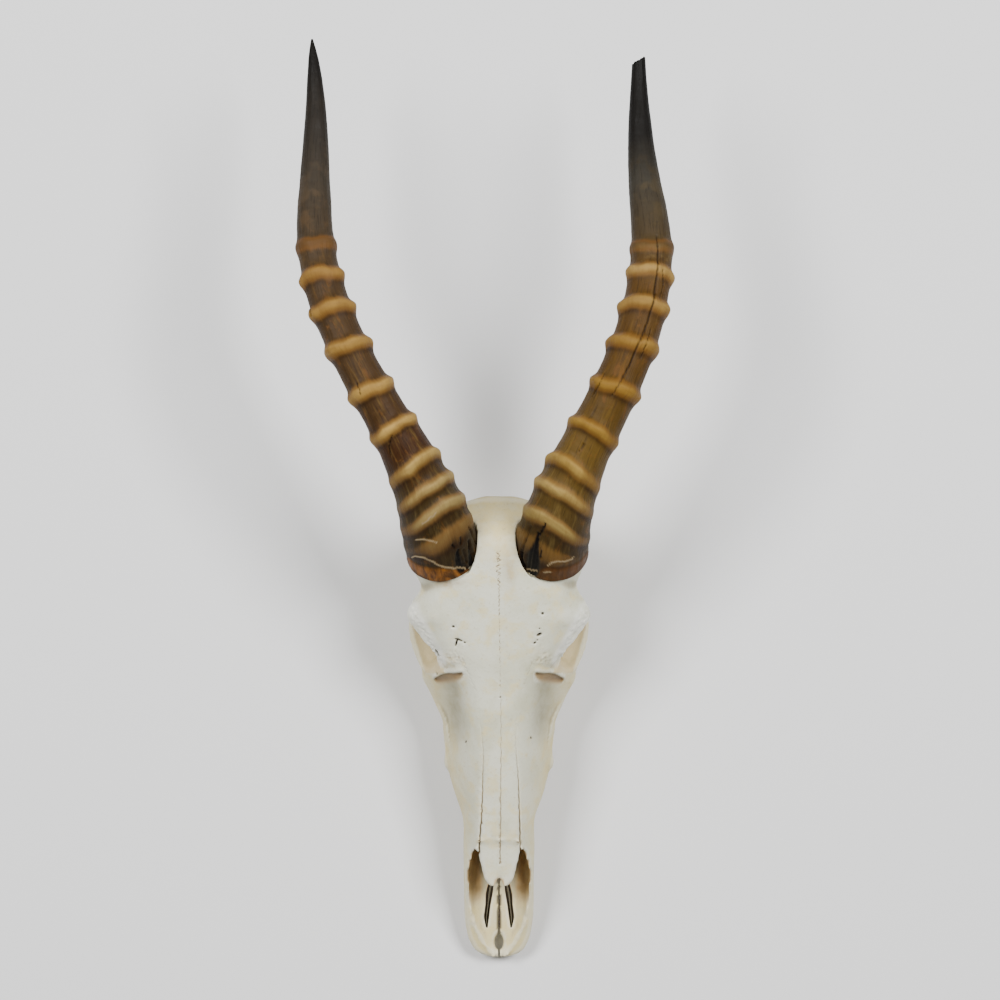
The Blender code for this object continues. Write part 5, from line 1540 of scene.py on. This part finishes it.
class BuildHorns(bpy.types.Operator):
    """Build the two ringed horns"""
    bl_idname = "skull.build_horns"
    bl_label = "Horns"

    def execute(self, context):
        settings = context.scene.skull_horns
        left = (LEFT_SPINE, LEFT_GIRTH, LEFT_RINGS, -1, False, LEFT_MARKS)
        right = (RIGHT_SPINE, RIGHT_GIRTH, RIGHT_RINGS, 1, True, RIGHT_MARKS)
        sides = (
            ("left_horn", left, (LEFT_GROUND, LEFT_CREST, 1.0)),
            ("right_horn", right, (RIGHT_GROUND, RIGHT_CREST, 0.2)),
        )
        for name, form, colours in sides:
            mesh, zones = horn_mesh(*form, settings.around, settings.step / MM)
            if not mesh.polygons:
                raise RuntimeError(name + " came out empty")
            finish = horn_finish(name + "_finish", zones, *colours, settings)
            piece(name + "_skin", mesh, finish, [name])
        return {"FINISHED"}


class BuildTeeth(bpy.types.Operator):
    """Build the twelve upper cheek teeth"""
    bl_idname = "skull.build_teeth"
    bl_label = "Cheek teeth"

    def execute(self, context):
        settings = context.scene.skull_teeth
        finish = tooth_finish(settings)
        for side, label in ((-1, "left"), (1, "right")):
            for name, y, x, length, width in TEETH:
                mesh = tooth_mesh(side, y, x, length, width, settings.relief / MM)
                piece(f"{label}_{name}_crown", mesh, finish, [f"{label}_{name}"])
        return {"FINISHED"}


class BuildStage(bpy.types.Operator):
    """Build the pale floor, the soft lights and the camera that looks straight down"""
    bl_idname = "skull.build_stage"
    bl_label = "Stage"

    def execute(self, context):
        settings = context.scene.skull_stage
        mesh = bmesh.new()
        bmesh.ops.create_grid(mesh, x_segments=4, y_segments=4, size=settings.floor_size / 2)
        floor = helper("floor", mesh)
        floor.data.materials.append(floor_finish(settings))
        side = settings.side_power
        lights = (
            ("right_light", (1.3, 0.6, 2.4), side * 1.05, 0.9),
            ("left_light", (-1.3, 0.6, 2.4), side * 0.95, 0.9),
        )
        for name, place, power, size in lights:
            data = bpy.data.lights.new(name, "AREA")
            data.energy, data.size = power, size
            light = bpy.data.objects.new(name, data)
            light.location = place
            light.rotation_euler = (Vector((0, 0, 0.08)) - Vector(place)).to_track_quat("-Z", "Y").to_euler()
            context.scene.collection.objects.link(light)
        world = bpy.data.worlds.new("soft_room")
        world.use_nodes = True
        world.node_tree.nodes["Background"].inputs["Color"].default_value = (1.0, 0.995, 0.985, 1.0)
        world.node_tree.nodes["Background"].inputs["Strength"].default_value = settings.room
        context.scene.world = world
        data = bpy.data.cameras.new("camera")
        data.sensor_width = 36.0
        data.lens = data.sensor_width * (settings.camera_height - 0.08) / settings.view_width
        data.clip_end = 20.0
        camera = bpy.data.objects.new("camera", data)
        camera.location = (
            (DATUM.x + SIGHT_CENTRE[0]) * MM, (DATUM.y + SIGHT_CENTRE[1]) * MM, settings.camera_height,
        )
        context.scene.collection.objects.link(camera)
        context.scene.camera = camera
        return {"FINISHED"}


class SkullPanel(bpy.types.Panel):
    """The skull's parts and their settings"""
    bl_idname = "VIEW3D_PT_skull"
    bl_label = "Blesbok skull"
    bl_space_type = "VIEW_3D"
    bl_region_type = "UI"
    bl_category = "Skull"

    def draw(self, context):
        for group, operator in OPERATORS:
            box = self.layout.box()
            box.operator(operator.bl_idname)
            settings = getattr(context.scene, group)
            for name in settings.bl_rna.properties.keys():
                if name not in ("name", "rna_type"):
                    box.prop(settings, name)


GROUPS = {
    "skull_bone": BoneSettings,
    "skull_horns": HornSettings,
    "skull_teeth": ToothSettings,
    "skull_stage": StageSettings,
}
OPERATORS = (
    ("skull_bone", BuildBone),
    ("skull_horns", BuildHorns),
    ("skull_teeth", BuildTeeth),
    ("skull_stage", BuildStage),
)


def register():
    for name, group in GROUPS.items():
        bpy.utils.register_class(group)
        setattr(bpy.types.Scene, name, PointerProperty(type=group))
    for _, operator in OPERATORS:
        bpy.utils.register_class(operator)
    bpy.utils.register_class(SkullPanel)


def unregister():
    bpy.utils.unregister_class(SkullPanel)
    for _, operator in reversed(OPERATORS):
        bpy.utils.unregister_class(operator)
    for name, group in GROUPS.items():
        delattr(bpy.types.Scene, name)
        bpy.utils.unregister_class(group)


def main():
    register()
    bpy.ops.skull.build_bone()
    bpy.ops.skull.build_horns()
    bpy.ops.skull.build_teeth()
    bpy.ops.skull.build_stage()


if __name__ == "__main__":
    main()
